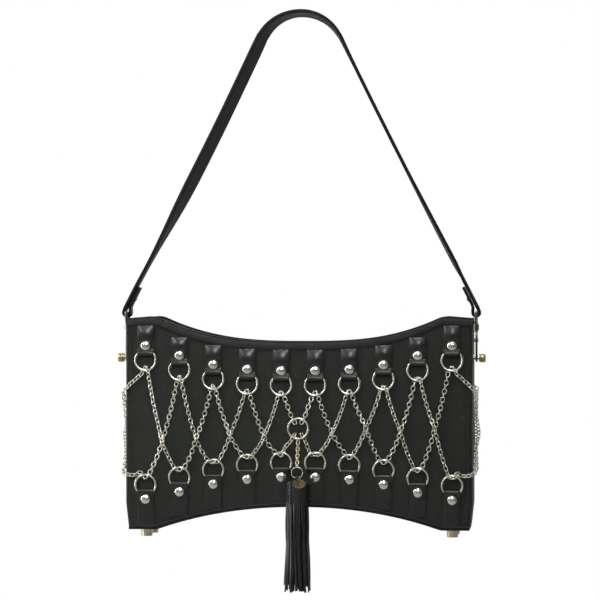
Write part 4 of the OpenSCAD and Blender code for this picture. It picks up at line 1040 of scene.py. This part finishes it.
def right_twist(s):
    leg = radians(1.5)
    low = radians(9) * ease((s - 27) / 20) * (1 - ease((s - 50) / 100))
    return low + leg * ease((s - 60) / 60) + (APEX_TWIST - leg) * ease((s - 225) / 75)


ribbon = half_strap(-1, left_twist, 2.2) + half_strap(1, right_twist, 1.0)[-2::-1]
shape = Shape()
shape.band(ribbon)
shape.piece("strap_ribbon", "strap", "strap_leather", "strap", angle=50)
# Dark paint along both cut edges of the ribbon
shape = Shape()
for sign in (-1, 1):
    painted = []
    for i, (p, n, w, t, crown) in enumerate(ribbon):
        ahead = ribbon[min(i + 1, len(ribbon) - 1)][0] - ribbon[max(i - 1, 0)][0]
        edge = ahead.cross(n).normalized() * sign
        painted.append((p + edge * w / 2, edge, t * 0.8, 0.3, 0.08))
    shape.band(painted, across=3)
shape.piece("strap_edge_paint", "strap", "strap_leather", paint="edge_leather", angle=50)
# Screws that clamp the turned-back ends
SCREW_PROFILE = ((0.01, 0.9), (1.1, 0.85), (1.8, 0.6), (2.1, 0.25), (2.1, -0.3), (0.01, -0.3))
for word, end in ENDS:
    n, up = around(LEG_NORMAL, end)
    head = Vector((end * HOOK_X, 0, EYE_Z)) + up * 13 - n * 1.15
    rings = [[head + (Vector((0, 1, 0)) * cos(a) + up * sin(a)) * r - n * h for a in whole_turn(20)]
             for r, h in SCREW_PROFILE]
    Shape(rings, caps=False).piece(word + "_strap_screw", "strap", "antique_brass", weld=0.02)


# Hooks: slim bent wire with a knuckle for the gate, and the knobs of the side studs
HOOK_WIRE = 1.9
GATE_WIRE = 1.5
POST_WIRE = 2.8
HOOK_HALF = 3.95
HOOK_LOW_Z, HOOK_TOP_Z = -292.7, -267.9
GATE_TOP_Z, GATE_LOW_Z = -275.35, -288.4
GATE_Y = 4.35
STUD_Z = -290.0
WIRE_X = HOOK_X + 0.35
KNOB_PROFILE = ((3.2, 150.45), (3.8, 150.6), (3.85, 151.4), (3.3, 151.7), (3.3, 152.0), (3.85, 152.3),
                (3.95, 153.4), (3.85, 155.0), (3.4, 155.75), (2.6, 155.95))
for word, end in ENDS:
    half_turn = spread(0, pi, 13)
    loop = [(HOOK_HALF, GATE_LOW_Z - 0.2)]
    loop += [(HOOK_HALF * cos(a), HOOK_LOW_Z + HOOK_HALF - HOOK_HALF * sin(a)) for a in half_turn]
    loop += [(-HOOK_HALF * cos(a), HOOK_TOP_Z - HOOK_HALF + HOOK_HALF * sin(a)) for a in half_turn]
    loop += [(HOOK_HALF, GATE_TOP_Z)]
    bar = zip(spread(HOOK_HALF, GATE_Y, 7), spread(GATE_LOW_Z, GATE_TOP_Z, 7))
    post = [(end * (HOOK_X + 0.2), 0, z) for z in (HOOK_TOP_Z - 0.6, -263, -259.6)]
    knuckle = [(end * (HOOK_X + x), GATE_Y, GATE_TOP_Z) for x in (-1.75, 0, 1.75)]
    # The hook wire, post and gate are painted in the darkened nickel: painted shade
    cord_piece(word + "_hook_wire", "strap", "nickel", [[(end * WIRE_X, y, z) for y, z in loop]],
               HOOK_WIRE, word + "_hook_body", paint="shaded_hook_nickel")
    cord_piece(word + "_hook_post", "strap", "nickel", [post, knuckle], POST_WIRE,
               paint="shaded_hook_nickel", sides=14)
    cord_piece(word + "_gate_bar", word + "_gate", "nickel", [[(end * WIRE_X, y, z) for y, z in bar]],
               GATE_WIRE, word + "_hook_gate", paint="shaded_hook_nickel")
    rings = [[(end * x, r * cos(a), STUD_Z + r * sin(a)) for a in whole_turn(32)]
             for r, x in KNOB_PROFILE]
    Shape(rings).piece(word + "_stud_knob", "bag", "pale_gold", paint="old_brass", angle=50)


# Zip: leather wings on twill tape, stamped teeth, end panels with a slit
WING_TOP, WING_LOW = ZIP_Z + WING_T / 2, ZIP_Z - WING_T / 2
WING_PROFILE = (
    (HINGE_Y + 0.2, WING_TOP - 0.5), (HINGE_Y - 0.3, WING_TOP), (HINGE_Y - 8, WING_TOP + 0.12),
    (9.6, WING_TOP + 0.1), (8.8, WING_TOP), (8.4, WING_TOP - 0.35), (8.2, ZIP_Z + 0.25),
    (TEETH_EDGE, ZIP_Z + 0.25), (TEETH_EDGE, ZIP_Z - 0.25), (8.2, ZIP_Z - 0.25), (8.6, WING_LOW),
    (HINGE_Y - 0.3, WING_LOW), (HINGE_Y + 0.2, WING_LOW + 0.5))
TAPE_PROFILE = [(y, ZIP_Z + z) for y, z in (
    (8.6, 0.34), (TEETH_EDGE - 0.2, 0.34), (TEETH_EDGE - 0.6, 0.0), (TEETH_EDGE - 0.2, -0.34), (8.6, -0.34))]


def along_zip(profile, count, side=1, start=WING_LEFT, end=WING_RIGHT):
    return [[(x, side * y, z) for y, z in profile] for x in spread(start, end, count)]


for word, side in SIDES:
    body = word + "_wing"
    Shape(along_zip(WING_PROFILE, 60, side)).piece(
        word + "_wing_leather", body, "zip_leather", word + "_zip_wing", angle=30)
    Shape(along_zip(TAPE_PROFILE, 30, side)).piece(word + "_zip_tape", body, "lining_cloth", angle=30)
    ends = (WING_LEFT + 1.2 + (0.65 if side < 0 else 1.95), WING_RIGHT - 2.0)
    row = [(x, side * (SLIT_HALF + 1.2), ZIP_Z) for x in (ends if side < 0 else ends[::-1])]
    grown(loose_paths(word + "_stamped_teeth", [row]), TEETH_TREE, body, "zip_metal", word + "_zip_teeth")
    stitches(word + "_wing_stitches", body, "zip_leather", [
        [(x, side * 10.2, WING_TOP + 0.12) for x in spread(WING_LEFT + 2, WING_RIGHT - 2, 40)]],
        [(0, 0, 1)], 3.0, 2.4)

# Each end panel: a strip on both sides of the slit, and a bridge past the slit's end
SLIDER_HALF = 4.8
SLIT_RIGHT, SLIT_LEFT = 117.8 + SLIDER_HALF, -119.8 - SLIDER_HALF
shape = Shape()
for x_low, x_high, bridge in ((WING_RIGHT + 0.3, INNER_X, (SLIT_RIGHT, INNER_X)),
                              (-INNER_X, WING_LEFT - 0.3, (-INNER_X, SLIT_LEFT))):
    for y_low, y_high, x0, x1 in ((-INNER_Y, -SLIT_HALF, x_low, x_high),
                                  (SLIT_HALF, INNER_Y, x_low, x_high), (-SLIT_HALF, SLIT_HALF, *bridge)):
        shape.rings(along_zip([(y_low, WING_LOW), (y_low, WING_TOP), (y_high, WING_TOP),
                               (y_high, WING_LOW)], 12, start=x0, end=x1))
shape.piece("zip_end_leather", "bag", "zip_leather", "zip_end_panels", angle=30)


# Tassel: laced cap, cut fringe, split ring of two turns and the blank tag
CAP_DROP = 2.3
CAP_TOP = SPLIT_Z - SPLIT_R - CAP_DROP
CAP_LOW = CAP_TOP - CAP_H
CAP_PROFILE = (
    (0.01, CAP_TOP), (5.2, CAP_TOP - 0.1), (7.6, CAP_TOP - 0.8), (8.9, CAP_TOP - 2.4), (9.2, CAP_TOP - 5),
    (9.15, CAP_TOP - 10), (9.05, CAP_TOP - 15), (9.2, CAP_LOW + 0.8), (9.0, CAP_LOW + 0.1), (8.2, CAP_LOW),
    (0.01, CAP_LOW))
LACE_AT = radians(228)


def tassel_point(r, a, z):
    return Vector((r * cos(a), TASSEL_Y + r * sin(a), z))


def make_cap():
    shape = Shape([[tassel_point(r, a, z) for a in whole_turn(56)] for r, z in CAP_PROFILE], caps=False)
    # The loop round the split ring, both feet sunk in the cap
    loop = []
    for a in map(radians, spread(-62, 242, 21)):
        out = Vector((0, cos(a), sin(a)))
        loop.append((Vector((0, SPLIT_Y, SPLIT_Z - SPLIT_R)) + out * 1.4, out, 3.0, 1.1, 0.0))
    feet = [((0, SPLIT_Y + s * 2.0, CAP_TOP - deep), (0, s, 0), 3.0, 1.1, 0.0)
            for s, deep in ((1, 1.2), (-1, 1.6))]
    shape.band(feet[:1] + loop + feet[1:], across=5)
    shape.piece("tassel_cap_wrap", "tassel", "tassel_leather", "tassel_cap", angle=50, weld=0.02)
    # Whip lacing down the front left of the wrap
    laces = []
    for k in range(6):
        z = CAP_TOP - 2.6 - k * 3.0
        for sign in (-1, 1):
            laces.append([tassel_point(CAP_R + 0.5 * (1 - t * t) + (0.3 if sign > 0 else 0),
                                       LACE_AT + sign * t * 0.26, z - t * 1.3) for t in spread(-1, 1, 7)])
    cord_piece("tassel_whip_lacing", "tassel", "tassel_leather", laces, 1.15, sides=8)
    angles = whole_turn(72) + [0.0]
    stitches("tassel_cap_stitches", "tassel", "tassel_leather",
             [[tassel_point(CAP_R, a, CAP_LOW + 1.6) for a in angles]],
             [[(cos(a), sin(a), 0) for a in angles]], 2.4, 1.9, 0.5)


def make_fringe():
    draw = random.Random(41)
    shape = Shape()
    start, low = CAP_LOW + 2.0, CAP_LOW - FRINGE_L
    for layer, (radius, tip, count) in enumerate(((8.7, 10.7, 25), (6.9, 8.7, 18), (4.4, 6.2, 11))):
        for k in range(count):
            a = 2 * pi * (k + 0.5 * layer) / count + draw.uniform(-0.07, 0.07)
            sway = draw.uniform(-0.2, 0.2)
            flare = draw.uniform(-1.3, 0.9)
            cut = draw.uniform(0, 6.5 if layer < 2 else 3)
            wave, twist = draw.uniform(0, 6.28), draw.uniform(-0.9, 0.9)
            width = draw.uniform(1.75, 2.5)
            rows = []
            for t in spread(0, 1, 18):
                belly = 0.55 * sin(pi * min(t * 2.2, 1.0))
                r = radius + (tip - radius + flare) * t ** 1.6 + sin(t * 6 + wave) * 0.4 * t + belly
                b = a + sway * t * t + 0.035 * sin(t * 8 + wave) * t
                face = b + twist * ease(t * 1.2) + 0.3 * sin(t * 5 + wave) * t
                rows.append((tassel_point(r, b, start + (low + cut - start) * t),
                             (cos(face), sin(face), 0), width, 0.95, 0.25))
            shape.band(rows, across=5)
    shape.rings([[tassel_point(r, a, z) for a in whole_turn(16)]
                 for r, z in ((3.0, CAP_LOW + 1), (3.2, low + 12))])
    shape.piece("tassel_fringe", "tassel", "tassel_leather", "tassel_skirt", angle=45)


make_cap()
make_fringe()

hang = Vector((0, -STRAND_Y, CENTRE_Z - CENTRE_R))
drop = Vector((0, SPLIT_Y, SPLIT_Z + SPLIT_R)) - hang
line = [hang + drop.normalized() * along for along in spread(0.5, drop.length - 1.1, 30)]
grown(loose_paths("hanger_links", [line], [(1, 0, 0)], [0.35]), CHAIN_TREE, "hanger", "nickel",
      "hanger_chain", paint="pale_gold", inputs={
          "Pitch": (drop.length - 1.62) / 8 * MM, "Link length": 4.9 * MM, "Link width": 3.6 * MM,
          "Wire": 0.85 * MM})

coil = [(SPLIT_R * sin(a), y, SPLIT_Z + SPLIT_R * cos(a)) for a, y in zip(
    map(radians, spread(20, 720, 81)), spread(SPLIT_Y + 0.36, SPLIT_Y - 0.36, 81))]
cord_piece("split_ring_turns", "hanger", "nickel", [coil], 0.75, "split_ring")

# Raised rim of the blank oval tag
TAG_INSET = 0.45
tag_low, tag_high = (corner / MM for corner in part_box("tag"))
middle, half = (tag_low + tag_high) / 2, (tag_high - tag_low) / 2
rim = [(middle.x + (half.x - TAG_INSET) * cos(a), tag_low.y + 0.12,
        middle.z + (half.z - TAG_INSET) * sin(a)) for a in whole_turn(48)]
cord_piece("tag_rim", "tag_plate", "antique_brass", [rim], 0.5, closed=True, sides=8)


# A pale floor that the camera sees as white
FLOOR_HALF, FLOOR_Z = 6.0, -0.62
paint = bpy.data.materials.new("pale_floor")
paint.use_nodes = True
net = Net(paint.node_tree)
net.tree.nodes.clear()
lit = net.get("ShaderNodeEmission", {"Color": rgb(1, 1, 1), "Strength": 1.0})
plain = net.get("ShaderNodeBsdfDiffuse", {"Color": rgb(0.6, 0.6, 0.58)})
seen = net.get("ShaderNodeLightPath", out="Is Camera Ray")
net.add("ShaderNodeOutputMaterial", {
    "Surface": net.get("ShaderNodeMixShader", {0: seen, 1: plain, 2: lit})})
shape = bpy.data.meshes.new("pale_floor")
shape.from_pydata([(x * FLOOR_HALF, y * FLOOR_HALF, FLOOR_Z)
                   for x, y in ((-1, -1), (1, -1), (1, 1), (-1, 1))], [], [(0, 1, 2, 3)])
shape.materials.append(paint)
in_scene("pale_floor", shape)

# Studio world: white behind the bag, a darker room with a dark patch in front of it
DARK_TOWARDS = (0.32, -0.91, -0.26)
world = bpy.data.worlds.new("studio")
bpy.context.scene.world = world
world.use_nodes = True
net = Net(world.node_tree)
net.tree.nodes.clear()
seen = net.add("ShaderNodeLightPath").outputs
looking = net.get("ShaderNodeTexCoord", out="Generated")
axes = net.add("ShaderNodeSeparateXYZ", {"Vector": looking}).outputs
dark_side = net.get("ShaderNodeVectorMath", {0: looking, 1: DARK_TOWARDS}, "Value",
                    operation="DOT_PRODUCT")
glow = net.plus(net.ramp(dark_side, 0.84, 0.965, 0.34, 0.02), net.ramp(axes["Y"], -0.8, 0.3, 0.0, 0.4))
for value, limits in ((axes["X"], (0.35, 1.0, 1.0, 0.25)), (axes["Z"], (-0.5, 0.0, 0.7, 1.0)),
                      (seen["Is Diffuse Ray"], (0.0, 1.0, 1.0, 0.25))):
    glow = net.times(glow, net.ramp(value, *limits))
mirrored_rays = net.maths("MAXIMUM", seen["Is Glossy Ray"], seen["Is Transmission Ray"])
backdrop = net.maths("MAXIMUM", seen["Is Camera Ray"],
                     net.times(mirrored_rays, net.ramp(axes["Y"], 0.0, 0.5)))
level = net.mix(backdrop, net.grey(glow), rgb(1, 1, 1))
net.add("ShaderNodeOutputWorld", {
    "Surface": net.get("ShaderNodeBackground", {"Color": level, "Strength": 1.0})})


def aim(made, place, target):
    made.location = place
    made.rotation_euler = (Vector(target) - Vector(place)).to_track_quat("-Z", "Y").to_euler()


# Lamps: place, target, size, watts and spread in degrees
MIDDLE = (0.0, 0.0, -0.3)
LAMPS = {
    "key_light": ((-1.15, -1.2, 0.75), MIDDLE, (0.5, 0.6), 9.0, 180),
    "side_light": ((0.08, -1.4, 0.55), (-0.13, 0.0, -0.27), (0.5, 0.9), 0.62, 32),
    "edge_light": ((-1.5, -0.1, -0.1), MIDDLE, (0.35, 1.2), 14.0, 180),
    "top_light": ((0.1, -0.75, 0.95), MIDDLE, (0.8, 0.2), 4.0, 180),
    "back_light": ((0.2, 1.4, 0.5), MIDDLE, (1.2, 0.8), 12.0, 180),
}
for name, (place, target, size, power, angle) in LAMPS.items():
    light = bpy.data.lights.new(name, "AREA")
    light.shape = "RECTANGLE"
    light.size, light.size_y = size
    light.energy = power
    light.spread = radians(angle)
    aim(in_scene(name, light), place, target)

# Camera: the photograph's 600 pixels at 0.838 mm each, from a little to the right
PICTURE, PIXEL, SENSOR = 600, 0.838, 36.0
TARGET = Vector((1.3, -30.0, -241.3)) * MM
AZIMUTH = radians(4.5)
DISTANCE = 3.0
camera = bpy.data.cameras.new("camera")
camera.sensor_width = SENSOR
camera.lens = DISTANCE * SENSOR / (PICTURE * PIXEL * MM)
camera.clip_start = 0.1
eye = in_scene("camera", camera)
aim(eye, TARGET + Vector((sin(AZIMUTH), -cos(AZIMUTH), 0)) * DISTANCE, TARGET)
bpy.context.scene.camera = eye
bpy.context.scene.view_settings.view_transform = "Standard"
